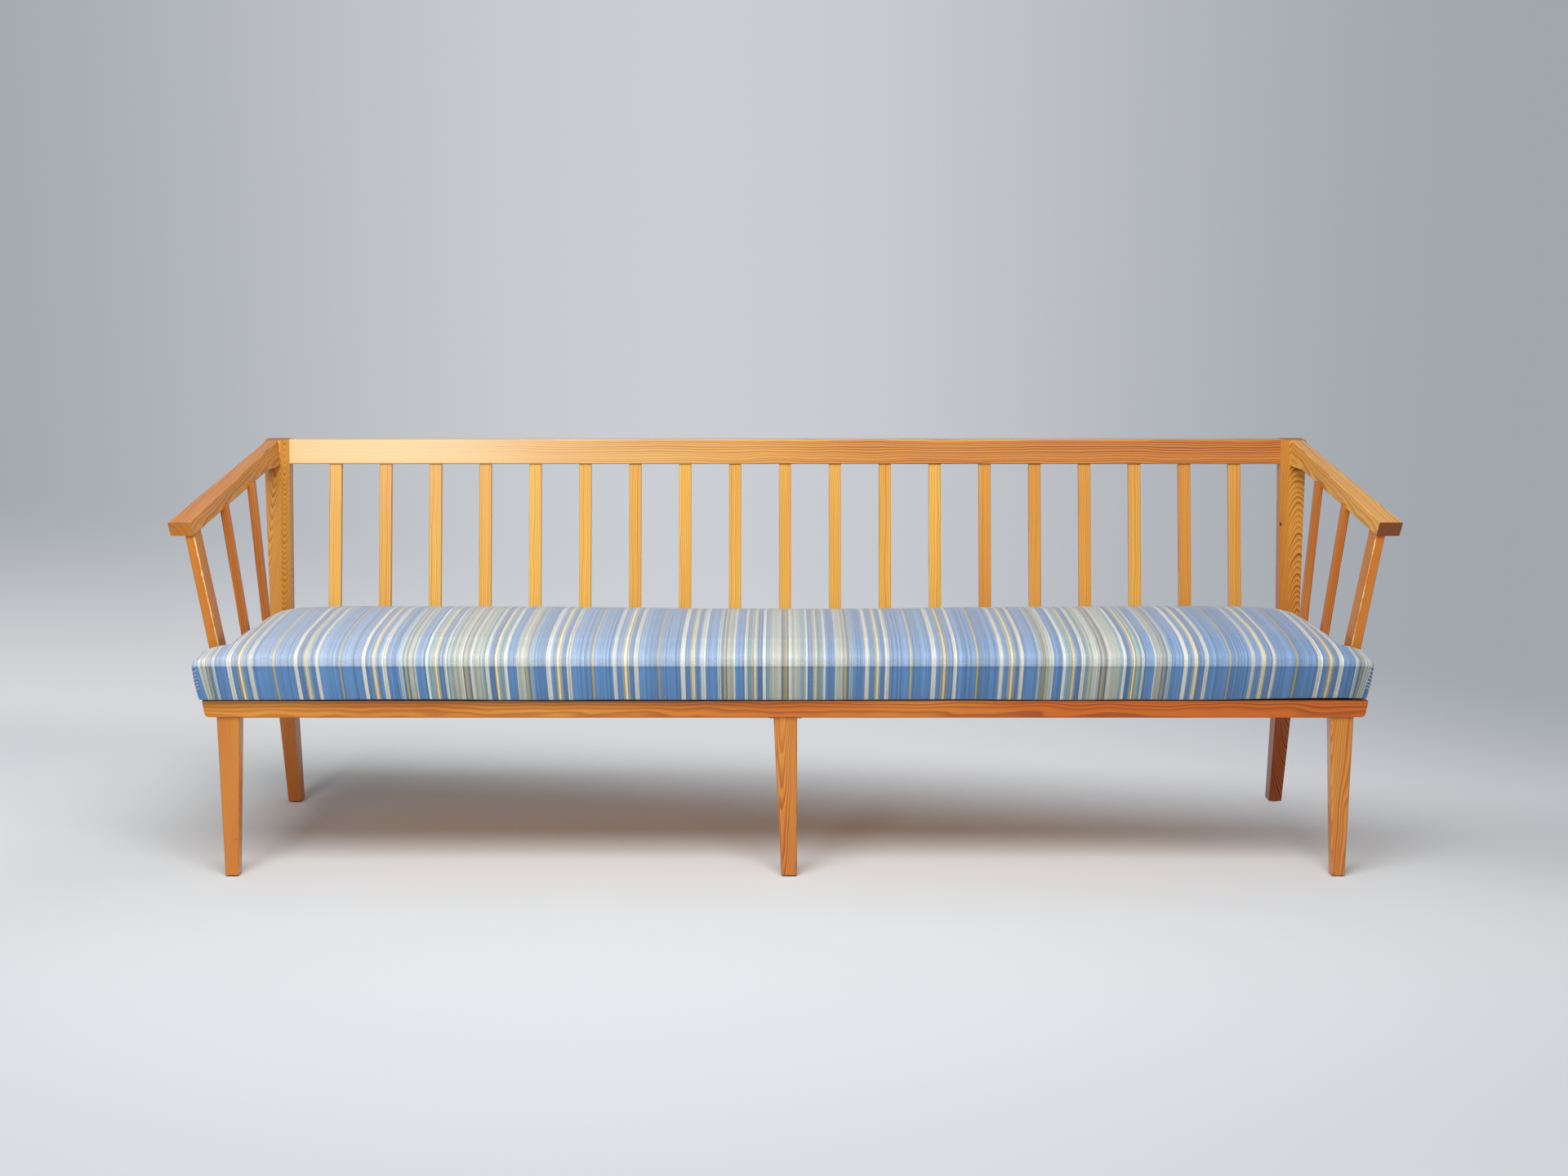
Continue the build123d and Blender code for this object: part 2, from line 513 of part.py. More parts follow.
def middle_runner():
    """Runner behind the middle leg that carries the middle of the cross rail."""
    half = MIDDLE_RUNNER_WIDTH / 2
    return block((-half, half), (RAIL_BACK_Y, BATTEN_BACK_Y),
                 (MIDDLE_RUNNER_BOTTOM_Z, CROSS_BOTTOM_Z))


def rear_batten():
    """Batten under the back ends of the sliding slats; it is also the stop."""
    return block((-RUNNER_INNER_X, RUNNER_INNER_X), (BATTEN_FRONT_Y, BATTEN_BACK_Y),
                 (CROSS_BOTTOM_Z, SLAT_BOTTOM_Z))


# ------------------------------------------------------------------ small parts
def foot_pad(x, y):
    """Round pad under a foot, down to the floor."""
    return Pos(x, y, PAD_THICKNESS / 2) * Cylinder(PAD_DIAMETER / 2, PAD_THICKNESS)


def front_pad_places():
    """Centres of the front feet, from left to right."""
    y = (RAIL_FRONT_Y + LEG_SETBACK_FOOT + RAIL_BACK_Y) / 2
    end_x = LEG_OUTER_X - LEG_FOOT_WIDTH / 2
    return [(-end_x, y), (MIDDLE_LEG_X - MIDDLE_LEG_FOOT_WIDTH / 2, y), (end_x, y)]


def back_pad_place():
    """Centre of the right-hand back foot."""
    return (POST_INNER_FOOT_X + POST_FOOT_WIDTH / 2,
            POST_BEND_Y + POST_FOOT_BACK + POST_FOOT_DEPTH / 2)


def wood_screw():
    """Countersunk screw with its head's face at the origin, pointing down."""
    head_depth = (SCREW_HEAD - SCREW_SHANK) / 2
    points = [(0, 0), (SCREW_HEAD / 2, 0), (SCREW_SHANK / 2, -head_depth),
              (SCREW_SHANK / 2, -SCREW_LENGTH + head_depth), (0, -SCREW_LENGTH)]
    return revolve(Plane.XZ * make_face(Polyline(*points, close=True)), Axis.Z)


def guide_screws():
    """Screws through the right-hand guide strip into the side rail."""
    first = CROSS_BACK_Y
    pitch = (BATTEN_BACK_Y - first) / GUIDE_SCREW_COUNT
    middle_z = GUIDE_TOP_Z - GUIDE_HEIGHT / 2
    places = [first + (i + 0.5) * pitch for i in range(GUIDE_SCREW_COUNT)]
    head_x = SIDE_RAIL_INNER_X - GUIDE_DEPTH
    return [Pos(head_x, y, middle_z) * Rot(0, -90, 0) * wood_screw() for y in places]


def keeper_screws():
    """Screws up through the ears of the keeper into the cross rail."""
    x = MIDDLE_RUNNER_WIDTH / 2 + SLIDE_CLEARANCE + KEEPER_THICKNESS + KEEPER_EAR / 2
    y = (CROSS_FRONT_Y + CROSS_BACK_Y) / 2
    z = CROSS_BOTTOM_Z - KEEPER_THICKNESS
    return [Pos(side * x, y, z) * Rot(180, 0, 0) * wood_screw() for side in (-1, 1)]


# ------------------------------------------------------------------ cushion
def cushion():
    """Loose crowned cushion, its front leaning out over the rail to a seam.

    Above the seam it rounds over a full shoulder, and its front corners wrap ahead of
    the arm posts.
    """
    low = SEAT_HEIGHT + CUSHION_CLEARANCE
    edge_z = SEAT_HEIGHT + CUSHION_EDGE_HEIGHT
    back_y = BACK_RAIL_FRONT_Y - CUSHION_CLEARANCE
    back_z = SEAT_HEIGHT + CUSHION_BACK_HEIGHT
    shoulder_y = CUSHION_FRONT_Y + CUSHION_SHOULDER_DEPTH
    shoulder_z = edge_z + CUSHION_SHOULDER_RISE
    crest = (CUSHION_FRONT_Y + CUSHION_CREST_Y, edge_z + CUSHION_CREST_RISE)
    side = Polyline((CUSHION_FRONT_Y, edge_z), (RAIL_FRONT_Y, low), (back_y, low),
                    (back_y, back_z))
    side += ThreePointArc((back_y, back_z), crest, (shoulder_y, shoulder_z))
    side += shoulder(shoulder_y, edge_z, -CUSHION_SHOULDER_DEPTH, CUSHION_SHOULDER_RISE)
    body = side_prism(make_face(side), -EAR_HALF_WIDTH, EAR_HALF_WIDTH)

    body -= cushion_end_waste(low, edge_z)
    body -= mirrored(cushion_end_waste(low, edge_z))
    return body - cushion_notch() - mirrored(cushion_notch())


def shoulder(middle, edge_z, reach, rise):
    """Two arcs through a quarter of an ellipse, from a shoulder's top down to the seam."""
    def at(eighths):
        angle = math.radians(90 / 8 * eighths)
        return middle + reach * math.cos(angle), edge_z + rise * math.sin(angle)

    upper = ThreePointArc(at(8), at(6), at(4))
    return upper + ThreePointArc(at(4), at(2), at(0))


def cushion_end_waste(low, edge_z):
    """What the right-hand end's outline takes off, beside its rounded shoulder and foot."""
    end_x = EAR_HALF_WIDTH - CUSHION_END_SHOULDER
    top = (end_x, edge_z + CUSHION_END_RISE)
    outside = Polyline(top, (end_x, BACK_HEIGHT), (REACH, BACK_HEIGHT), (REACH, 0),
                       (EAR_HALF_WIDTH - EAR_FOOT_NARROWER, 0),
                       (EAR_HALF_WIDTH - EAR_FOOT_NARROWER, low),
                       (EAR_HALF_WIDTH, edge_z))
    outside += shoulder(end_x, edge_z, CUSHION_END_SHOULDER, CUSHION_END_RISE)
    plane = Plane(origin=(0, OVERALL_DEPTH, 0), x_dir=(1, 0, 0), z_dir=(0, -1, 0))
    return extrude(plane * make_face(outside), 2 * OVERALL_DEPTH)


def cushion_notch():
    """Space of the right-hand arm frame, which the cushion leaves free."""
    inner = min(SPINDLE_FOOT_X) - CUSHION_CLEARANCE
    return block((inner, REACH), (ARM_END_Y - CUSHION_CLEARANCE, OVERALL_DEPTH),
                 (0, 2 * BACK_HEIGHT))


# ------------------------------------------------------------------ assembly
def build_pieces():
    """Every piece of the bench by node name."""
    pieces = {}

    def add_pair(name, right_piece):
        pieces[f"{name}_right"] = right_piece
        pieces[f"{name}_left"] = mirrored(right_piece)

    slats = back_slats()
    for number, slat in enumerate(slats, start=1):
        pieces[f"back_slat_{number:02d}"] = slat
    pieces["back_top_rail"] = back_top_rail(slats)
    pieces["back_seat_rail"] = back_seat_rail(slats)
    pieces["slat_ledger"] = slat_ledger()
    add_pair("back_post", back_post())

    spindles = [arm_spindle(place) for place in range(len(SPINDLE_FOOT_X))]
    screws = guide_screws()
    add_pair("arm", arm() - spindles)
    add_pair("arm_post", arm_post())
    add_pair("front_arm_spindle", spindles[0])
    add_pair("rear_arm_spindle", spindles[1])
    add_pair("side_rail", side_rail([arm_tenon(), *spindles, *screws]))
    add_pair("guide_strip", guide_strip(screws))
    strap_screws = keeper_screws()
    pieces["front_cross_rail"] = front_cross_rail() - strap_screws
    pieces["runner_keeper"] = runner_keeper(strap_screws)
    pieces["fixed_seat_slats"] = Compound(children=seat_slats(sliding=False))
    all_screws = screws + [mirrored(screw) for screw in screws] + strap_screws
    pieces["frame_screws"] = Compound(children=all_screws)

    end_leg = front_leg(LEG_OUTER_X, LEG_TOP_WIDTH, LEG_FOOT_WIDTH)
    middle_leg = front_leg(MIDDLE_LEG_X, MIDDLE_LEG_TOP_WIDTH, MIDDLE_LEG_FOOT_WIDTH)
    legs = [end_leg, mirrored(end_leg), middle_leg]
    add_pair("front_leg", end_leg)
    pieces["front_leg_middle"] = middle_leg
    pieces["front_rail"] = front_rail(legs)
    add_pair("side_runner", side_runner())
    pieces["middle_runner"] = middle_runner()
    pieces["rear_batten"] = rear_batten()
    pieces["sliding_seat_slats"] = Compound(children=seat_slats(sliding=True))

    left_pad, middle_pad, right_pad = [foot_pad(*place) for place in front_pad_places()]
    pieces["front_felt_pads"] = Compound(children=[left_pad, middle_pad])
    pieces["front_glide"] = right_pad
    back_pad = foot_pad(*back_pad_place())
    pieces["back_felt_pad"] = mirrored(back_pad)
    pieces["back_glide"] = back_pad
    pieces["seat_cushion"] = cushion()
    return pieces


def main():
    """Write one STEP file per node."""
    os.makedirs("parts", exist_ok=True)
    for name, piece in build_pieces().items():
        export_step(piece, f"parts/{name}.step")
    print(f"slide travel {SLIDE_TRAVEL:.1f} mm")


main()
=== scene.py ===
"""Looks of a slatted pull-out bench bed: lacquered pine and a striped seat cushion.

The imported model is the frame. Its rigid nodes keep their shapes and get finishes, the
plain cushion solid gives way to a sewn and filled one, and small fittings are added.
Lengths are metres. +X is to the viewer's right, the front is towards -Y, +Z is up.
"""

import logging
import math
from dataclasses import dataclass, field
from enum import Enum
from functools import cached_property
from typing import TypeAlias

import bmesh
import bpy
from mathutils import Matrix, Vector, noise


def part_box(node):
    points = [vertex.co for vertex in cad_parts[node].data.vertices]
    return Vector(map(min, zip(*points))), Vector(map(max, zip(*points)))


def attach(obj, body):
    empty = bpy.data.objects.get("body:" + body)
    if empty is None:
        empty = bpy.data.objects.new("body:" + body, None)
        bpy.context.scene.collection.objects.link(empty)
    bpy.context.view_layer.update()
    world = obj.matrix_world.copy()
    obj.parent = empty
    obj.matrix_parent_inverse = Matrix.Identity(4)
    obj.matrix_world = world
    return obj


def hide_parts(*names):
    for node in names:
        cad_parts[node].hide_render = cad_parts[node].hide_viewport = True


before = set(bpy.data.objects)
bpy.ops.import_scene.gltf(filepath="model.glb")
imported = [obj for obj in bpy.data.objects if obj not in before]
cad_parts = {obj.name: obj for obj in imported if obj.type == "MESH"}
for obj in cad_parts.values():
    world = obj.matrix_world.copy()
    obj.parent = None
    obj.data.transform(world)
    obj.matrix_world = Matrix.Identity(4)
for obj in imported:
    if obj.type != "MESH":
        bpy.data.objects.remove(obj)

LOG = logging.getLogger("bench")
CLOTH_MAP = "cloth"

Pair: TypeAlias = tuple[float, float]
Point: TypeAlias = tuple[float, float, float]
Colour: TypeAlias = tuple[float, float, float, float]
Spot: TypeAlias = tuple[int, int, int]  # column, row and level of a mesh
Value: TypeAlias = "Socket | float"
Finish: TypeAlias = bpy.types.Material
Shell: TypeAlias = bmesh.types.BMesh


# ---------------------------------------------------------------- colours
def linear(level: int) -> float:
    """Scene-linear share of a display level from 0 to 255."""
    share = level / 255
    return share / 12.92 if share <= 0.04045 else ((share + 0.055) / 1.055) ** 2.4


def display(red: int, green: int, blue: int) -> Colour:
    """Scene-linear colour of a display colour from 0 to 255."""
    return linear(red), linear(green), linear(blue), 1.0


class Wood(Enum):
    """Colours in lacquered pine."""

    SPRING_PALE = display(246, 190, 80)
    SPRING_DEEP = display(206, 104, 26)
    SUMMER_PALE = display(192, 96, 24)
    SUMMER_DEEP = display(120, 44, 10)
    KNOT = display(70, 34, 18)
    # bare wood of rubbed edges, and the pale colour of the painted highlight
    BARE = display(242, 204, 136)
    END = display(118, 60, 28)


class Yarn(Enum):
    """Colours of the cushion's yarns."""

    BLUE = display(94, 139, 190)
    STRONG_BLUE = display(84, 126, 178)
    NAVY = display(98, 122, 156)
    TEAL = display(132, 166, 178)
    SAGE = display(180, 185, 168)
    CREAM = display(208, 204, 184)
    WHITE = display(224, 218, 200)
    OCHRE = display(172, 160, 106)
    WEFT = display(82, 114, 156)
    # pale colour painted onto the top panel as sheen
    FADED = display(236, 239, 236)
    SHEEN = display(236, 238, 242)
    THREAD = display(226, 224, 214)
    THREAD_SHADE = display(196, 198, 196)


# ---------------------------------------------------------------- shader maths
class Socket:
    """An output of a shader node that takes part in arithmetic."""

    def __init__(self, graph: "Graph", output: bpy.types.NodeSocket) -> None:
        """Keep the graph and the output."""
        self.graph = graph
        self.output = output

    def __add__(self, other: Value) -> "Socket":
        """This plus the other."""
        return self.graph.math("ADD", self, other)

    __radd__ = __add__

    def __sub__(self, other: Value) -> "Socket":
        """This less the other."""
        return self.graph.math("SUBTRACT", self, other)

    def __rsub__(self, other: float) -> "Socket":
        """The other less this."""
        return self.graph.math("SUBTRACT", other, self)

    def __mul__(self, other: Value) -> "Socket":
        """This times the other."""
        return self.graph.math("MULTIPLY", self, other)

    __rmul__ = __mul__

    def __truediv__(self, other: Value) -> "Socket":
        """This divided by the other."""
        return self.graph.math("DIVIDE", self, other)

    def __pow__(self, other: float) -> "Socket":
        """This to a power."""
        return self.graph.math("POWER", self, other)


class Graph:
    """The node tree of one material or of the world, built by expressions."""

    def __init__(self, owner: Finish | bpy.types.World) -> None:
        """Start an empty tree in a material or a world."""
        self.owner = owner
        owner.use_nodes = True
        self.tree = owner.node_tree
        self.tree.nodes.clear()

    @classmethod
    def of_material(cls, name: str) -> "Graph":
        """The empty tree of a new material."""
        return cls(bpy.data.materials.new(name))

    def node(self, kind: str, inputs: dict, **settings: object) -> bpy.types.Node:
        """Add any node.

        Args:
            kind: Type of the node, after its "ShaderNode".
            inputs: Values or Sockets by the name or the number of the input.
            settings: Properties, set first; a ramp's stops are (place, colour) pairs.

        Returns:
            The node.
        """
        made = self.tree.nodes.new(f"ShaderNode{kind}")
        for name, value in settings.items():
            if name == "stops":
                self.set_stops(made.color_ramp, value)
            else:
                setattr(made, name, value)
        for key, value in inputs.items():
            if isinstance(value, Socket):
                self.tree.links.new(value.output, made.inputs[key])
            else:
                made.inputs[key].default_value = value
        return made

    def set_stops(self, ramp: bpy.types.ColorRamp, stops: list) -> None:
        """Give a ramp stepped colours.

        Args:
            ramp: The ramp.
            stops: Pairs of a place from 0 to 1 and a colour, in order.
        """
        ramp.interpolation = "CONSTANT"
        while len(ramp.elements) < len(stops):
            ramp.elements.new(1.0)
        for element, (place, colour) in zip(ramp.elements, stops):
            element.position = place
            element.color = colour

    def value(self, kind: str, inputs: dict, output: str | int = 0, **settings: object) -> Socket:
        """One output of a new node."""
        return Socket(self, self.node(kind, inputs, **settings).outputs[output])

    def math(self, operation: str, first: Value, second: Value = 0.0) -> Socket:
        """A Math node's operation on one or two values."""
        return self.value("Math", {0: first, 1: second}, operation=operation)

    def dot(self, vector: Socket, way: Vector) -> Socket:
        """Length of a vector along a fixed direction."""
        ends = {0: vector, 1: tuple(way)}
        return self.value("VectorMath", ends, "Value", operation="DOT_PRODUCT")

    def distance(self, vector: Socket, point: Point) -> Socket:
        """Distance of a place from a fixed point."""
        ends = {0: vector, 1: point}
        return self.value("VectorMath", ends, "Value", operation="DISTANCE")

    def join(self, x: Value, y: Value, z: Value) -> Socket:
        """A vector from three values."""
        return self.value("CombineXYZ", {0: x, 1: y, 2: z})

    def split(self, vector: Socket) -> list[Socket]:
        """The three values of a vector."""
        made = self.node("SeparateXYZ", {0: vector})
        return [Socket(self, output) for output in made.outputs]

    @cached_property
    def place(self) -> Socket:
        """Place on the bench, the same for every node at rest."""
        return self.value("TexCoord", {}, "Object")

    def noise(self, vector: Socket, scale: float = 1.0, detail: float = 1.0) -> Socket:
        """Smooth noise from 0 to 1, at a fineness, with a number of finer layers."""
        return self.value("TexNoise", {"Vector": vector, "Scale": scale, "Detail": detail,
                                       "Roughness": 0.5})

    def chance(self, value: Socket) -> list[Socket]:
        """Three numbers from 0 to 1 that jump with the value."""
        made = self.value("TexWhiteNoise", {"W": value}, "Color", noise_dimensions="1D")
        return self.split(made)

    def rise(self, value: Socket, low: float, high: float) -> Socket:
        """Soft step from 0 at low to 1 at high; low may be the greater."""
        return self.value("MapRange", {0: value, 1: low, 2: high, 3: 0.0, 4: 1.0},
                          interpolation_type="SMOOTHSTEP")

    def blend(self, share: Value, first: Socket | Colour, second: Socket | Colour) -> Socket:
        """Mix a share of the second colour into the first."""
        return self.value("Mix", {0: share, 6: first, 7: second}, 2,
                          data_type="RGBA", clamp_factor=True)

    def lighten(self, colour: Socket, factor: Socket) -> Socket:
        """A colour times a value."""
        return self.value("VectorMath", {0: colour, "Scale": factor}, operation="SCALE")

    def bumps(self, height: Socket, depth: float, strength: float) -> Socket:
        """Relief of a height from 0 to 1, as deep as given in metres."""
        return self.value("Bump", {"Height": height, "Distance": depth, "Strength": strength})

    def surface(self, inputs: dict) -> Finish:
        """Finish the material with one Principled surface."""
        self.node("OutputMaterial", {"Surface": self.value("BsdfPrincipled", inputs)})
        return self.owner


# ---------------------------------------------------------------- finishes
@dataclass(frozen=True)
class Row:
    """A row of like pieces along X that share one finish."""

    pitch: float  # spacing of the pieces
    start: float  # X of the middle of any gap between two of them


@dataclass(frozen=True)
class Knot:
    """Root of a branch, seen on the surface."""

    place: Point
    radius: float


@dataclass(frozen=True)
class RubbedEdge:
    """An edge where the lacquer is chipped and rubbed away."""

    start: Point
    end: Point
    reach: float  # how far the wear goes from the edge


@dataclass(frozen=True)
class Pine:
    """Lacquered pine, grown in rings round a heart line."""

    along: Point  # direction of the fibres
    heart: Point  # a point on the heart line of the log
    ring: float = 0.0022  # mean width of a year's ring
    wander: float = 0.003  # how far the rings stray from round
    tone: float = 0.4  # from 0, pale honey, to 1, deep amber
    contrast: float = 0.85  # how strongly the rings show
    gloss: float = 0.30  # weight of the lacquer
    drift: Point = (0.0, 0.0, 0.0)  # painted shade: how much deeper it gets in a metre right, back and up, where less light falls
    bleached: float = 0.0  # painted highlight: how much paler its left end is painted, where the key light reflects
    dirt: float = 0.0  # height above which its front is darkened with painted shade from the cushion's overhang, or 0
    ends: float = 0.5  # how dark its sawn ends are
    scatter: Pair = (0.05, 0.03)  # how far the heart moves from piece to piece of a row
    row: Row | None = None  # the row of like pieces that it dresses
    knots: tuple[Knot, ...] = ()
    rubbed: RubbedEdge | None = None
    seed: float = 0.0  # sets its random features apart

    # Fineness of the figure along and across the fibres.
    BENDS, WAVES, CLOUDS, FIBRES = (1.3, 5.0), (9.0, 26.0), (3.0, 14.0), (28.0, 900.0)
    TAPER = 0.004  # how much thicker the log gets in a metre
    WAVE_RINGS = 2.4  # height of the small waves in rings
    UNEVEN, UNEVEN_FINE = 1.8, 120.0  # how many years the rings run ahead or behind, and how often
    SUMMER, WINTER = (0.22, 0.86), (1.0, 0.92)  # when in a year the wood darkens, and ends
    KNOT_SWELL, KNOT_REACH = 2.2, 5.0  # how rings go round a knot, in its radii
    KNOT_RIM = (1.15, 0.7)  # its edge, in its radii
    SUN = (0.2, -0.9)  # X where the painted highlight starts and where it is full
    DIRT_LINE, DIRT_FADE = (0.0005, 0.0025), 0.017  # painted shade under the cushion: its sharp edge and the soft one below
    DIRT_SIDE = (0.25, -0.25)  # X where the soft one starts and where it is full
    DIRT_DARK, DIRT_DIM, KNOT_DARK = 0.45, 0.42, 0.9  # how dark these and the knots are
    CHIPS, PATCHES = (160.0, 0.32), (24.0, 0.32)  # of wear: fineness and least noise
    PATCHY, CHIP_EDGE = 5.0, 0.4  # how much it varies, and its soft edge as a share of its reach
    SAWN = (0.75, 0.95)  # how squarely a sawn end faces along the fibres

    def axes(self) -> list[Vector]:
        """Directions along and across the fibres.

        Returns:
            Unit vectors along the fibres and two ways across them.
        """
        along = Vector(self.along).normalized()
        across = along.cross(Vector((0.0, 0.0, 1.0) if abs(along.z) < 0.7 else (0.0, 1.0, 0.0)))
        across.normalize()
        return [along, across, along.cross(across)]

    def log_place(self, graph: Graph) -> tuple[list[Socket], Socket]:
        """Place in the log that the piece was cut from.

        Args:
            graph: The material's graph.

        Returns:
            Distances along the fibres and two ways across from the heart line, and the tone.
        """
        axes = self.axes()
        log = [graph.dot(graph.place, axis) - Vector(self.heart).dot(axis) for axis in axes]
        # painted shade: the tone deepens along the painted falloff
        tone = graph.dot(graph.place, Vector(self.drift)) + self.tone
        if self.row is None:
            return log, tone
        pitch, start = self.row.pitch, self.row.start
        cell = graph.math("FLOOR", (graph.split(graph.place)[0] - start) / pitch)
        middle = cell * pitch + (start + pitch / 2)
        chances = graph.chance(cell + self.seed)
        across = [log[i] - middle * axes[i].x + (chances[i - 1] - 0.5) * self.scatter[i - 1]
                  for i in (1, 2)]
        return [log[0] + chances[2] * 3.0, *across], chances[0] * 0.3 + (tone - 0.15)

    def figure(self, graph: Graph, log: list[Socket], fine: Pair, shift: Pair = (0.0, 0.0),
               detail: float = 1.0) -> Socket:
        """Noise as fine as given along and across the fibres, moved by a shift."""
        return graph.noise(graph.join(log[0] * fine[0] + shift[0], log[1] * fine[1] + shift[1],
                                      log[2] * fine[1]), detail=detail)

    def summer_wood(self, graph: Graph, log: list[Socket]) -> Socket:
        """Dark part of each year's ring.

        Args:
            graph: The material's graph.
            log: Place in the log.

        Returns:
            The share of summer wood.
        """
        bends = self.figure(graph, log, self.BENDS, (self.seed, 0.0)) - 0.5
        waves = self.figure(graph, log, self.WAVES, (0.0, self.seed)) - 0.5
        radius = (log[1] * log[1] + log[2] * log[2]) ** 0.5 + log[0] * self.TAPER
        radius = radius + bends * (2 * self.wander) + waves * (self.WAVE_RINGS * self.ring)
        for knot in self.knots:
            gap = graph.distance(graph.place, knot.place)
            near = graph.rise(gap, knot.radius * self.KNOT_REACH, 0.0)
            radius = radius + near * near * (knot.radius * self.KNOT_SWELL)
        uneven = graph.noise(graph.join(radius * self.UNEVEN_FINE, self.seed, 0.0)) * self.UNEVEN
        years = radius / self.ring + uneven
        phase = graph.math("FRACT", years)
        strength = graph.chance(graph.math("FLOOR", years) + self.seed)[0] * 0.5 + 0.5
        return graph.rise(phase, *self.SUMMER) * graph.rise(phase, *self.WINTER) * strength

    def aged(self, graph: Graph, colour: Socket) -> Socket:
        """Paint a highlight on its left end and shade along the top of its front, and darken its
        knots.

        Args:
            graph: The material's graph.
            colour: Colour of the clean wood.

        Returns:
            The colour.
        """
        x, _, z = graph.split(graph.place)
        # painted highlight: its left end is painted paler, where the key light reflects in the
        # lacquer
        if self.bleached:
            share = graph.rise(x, *self.SUN) * self.bleached
            colour = graph.blend(share, colour, Wood.BARE.value)
        # painted shade: the top of its front is darker under the cushion's overhang, softly on the
        # left
        if self.dirt:
            line = graph.rise(z, *(self.dirt + over for over in self.DIRT_LINE))
            soft = graph.rise(z, self.dirt - self.DIRT_FADE, self.dirt)
            soft = soft * graph.rise(x, *self.DIRT_SIDE)
            colour = graph.lighten(colour, 1.0 - (line * self.DIRT_DARK + soft * self.DIRT_DIM))
        for knot in self.knots:
            gap = graph.distance(graph.place, knot.place)
            core = graph.rise(gap, *(knot.radius * share for share in self.KNOT_RIM))
            colour = graph.blend(core * self.KNOT_DARK, colour, Wood.KNOT.value)
        return colour

    def bare(self, graph: Graph) -> Socket:
        """Bare wood along the rubbed edge.

        Args:
            graph: The material's graph.

        Returns:
            The share of bare wood.
        """
        start, reach = Vector(self.rubbed.start), self.rubbed.reach
        run = Vector(self.rubbed.end) - start
        way, place = run.normalized(), graph.place
        along = graph.dot(place, way) - start.dot(way)
        along = graph.math("MINIMUM", graph.math("MAXIMUM", along, 0.0), run.length)
        x, y, z = (axis - (along * way[i] + start[i]) for i, axis in enumerate(graph.split(place)))
        away = (x * x + y * y + z * z) ** 0.5
        chips = graph.noise(place, self.CHIPS[0], 2.0) - self.CHIPS[1]
        patches = (graph.noise(place, self.PATCHES[0]) - self.PATCHES[1]) * self.PATCHY
        return graph.rise(away - chips * patches * reach, reach * self.CHIP_EDGE, 0.0)

    def build(self, name: str) -> Finish:
        """Make the material.

        Args:
            name: Its name.

        Returns:
            The material.
        """
        graph = Graph.of_material(name)
        log, tone = self.log_place(graph)
        summer = self.summer_wood(graph, log)
        fibre = self.figure(graph, log, self.FIBRES, detail=2.0)
        cloud = self.figure(graph, log, self.CLOUDS, (self.seed, 0.0))
        deep = tone + (cloud - 0.5) * 0.6
        spring_colour = graph.blend(deep, Wood.SPRING_PALE.value, Wood.SPRING_DEEP.value)
        summer_colour = graph.blend(deep, Wood.SUMMER_PALE.value, Wood.SUMMER_DEEP.value)
        colour = graph.blend(summer * self.contrast, spring_colour, summer_colour)
        colour = self.aged(graph, graph.lighten(colour, fibre * 0.16 + 0.92))

        facing = graph.dot(graph.value("NewGeometry", {}, "Normal"), self.axes()[0])
        sawn = graph.rise(graph.math("ABSOLUTE", facing), *self.SAWN)
        colour = graph.blend(sawn * self.ends, colour, Wood.END.value)
        roughness = fibre * 0.12 + summer * -0.05 + sawn * 0.15 + 0.30
        coat = self.gloss * (1.0 - sawn * 0.7)
        if self.rubbed:
            bare = self.bare(graph)
            colour = graph.blend(bare, colour, Wood.BARE.value)
            roughness = roughness + bare * 0.3
            coat = coat * (1.0 - bare)
        relief = graph.bumps(fibre * 0.5 + summer * 0.5, 0.0003, 0.25)
        return graph.surface({
            "Base Color": colour, "Roughness": roughness, "Coat Weight": coat,
            "Coat Roughness": 0.18, "Coat IOR": 1.5, "IOR": 1.4, "Normal": relief})


@dataclass(frozen=True)
class Felt:
    """Pressed wool felt under the feet."""

    dark: Colour = display(58, 42, 32)
    light: Colour = display(112, 88, 68)

    def build(self) -> Finish:
        """Make the material.

        Returns:
            The material.
        """
        graph = Graph.of_material("brown_felt")
        hairs = graph.noise(graph.place, 1800.0, 3.0)
        clumps = graph.noise(graph.place, 260.0, 2.0)
        colour = graph.blend(hairs * 0.7 + clumps * 0.3, self.dark, self.light)
        return graph.surface({"Base Color": colour, "Roughness": hairs * 0.1 + 0.85,
                              "Sheen Weight": 0.4, "Sheen Roughness": 0.5,
                              "Normal": graph.bumps(hairs, 0.0006, 0.8)})


@dataclass(frozen=True)
class Nylon:
    """Milky nylon of the round glides, scuffed from use."""

    clean: Colour = display(214, 212, 206)
    grey: Colour = display(158, 156, 150)
    soiled: float = 0.0022  # height up to which it is greyer

    def build(self) -> Finish:
        """Make the material.

        Returns:
            The material.
        """
        graph = Graph.of_material("milky_nylon")
        x, y, z = graph.split(graph.place)
        scuffs = graph.noise(graph.join(x * 300.0, y * 2400.0, z * 600.0), detail=2.0)
        foot = graph.rise(z, self.soiled, 0.0)
        colour = graph.blend(foot * 0.5 + scuffs * 0.4, self.clean, self.grey)
        return graph.surface({"Base Color": colour, "Roughness": scuffs * 0.25 + 0.35,
                              "Subsurface Weight": 0.15, "Subsurface Scale": 0.002,
                              "Normal": graph.bumps(scuffs, 0.0002, 0.3)})


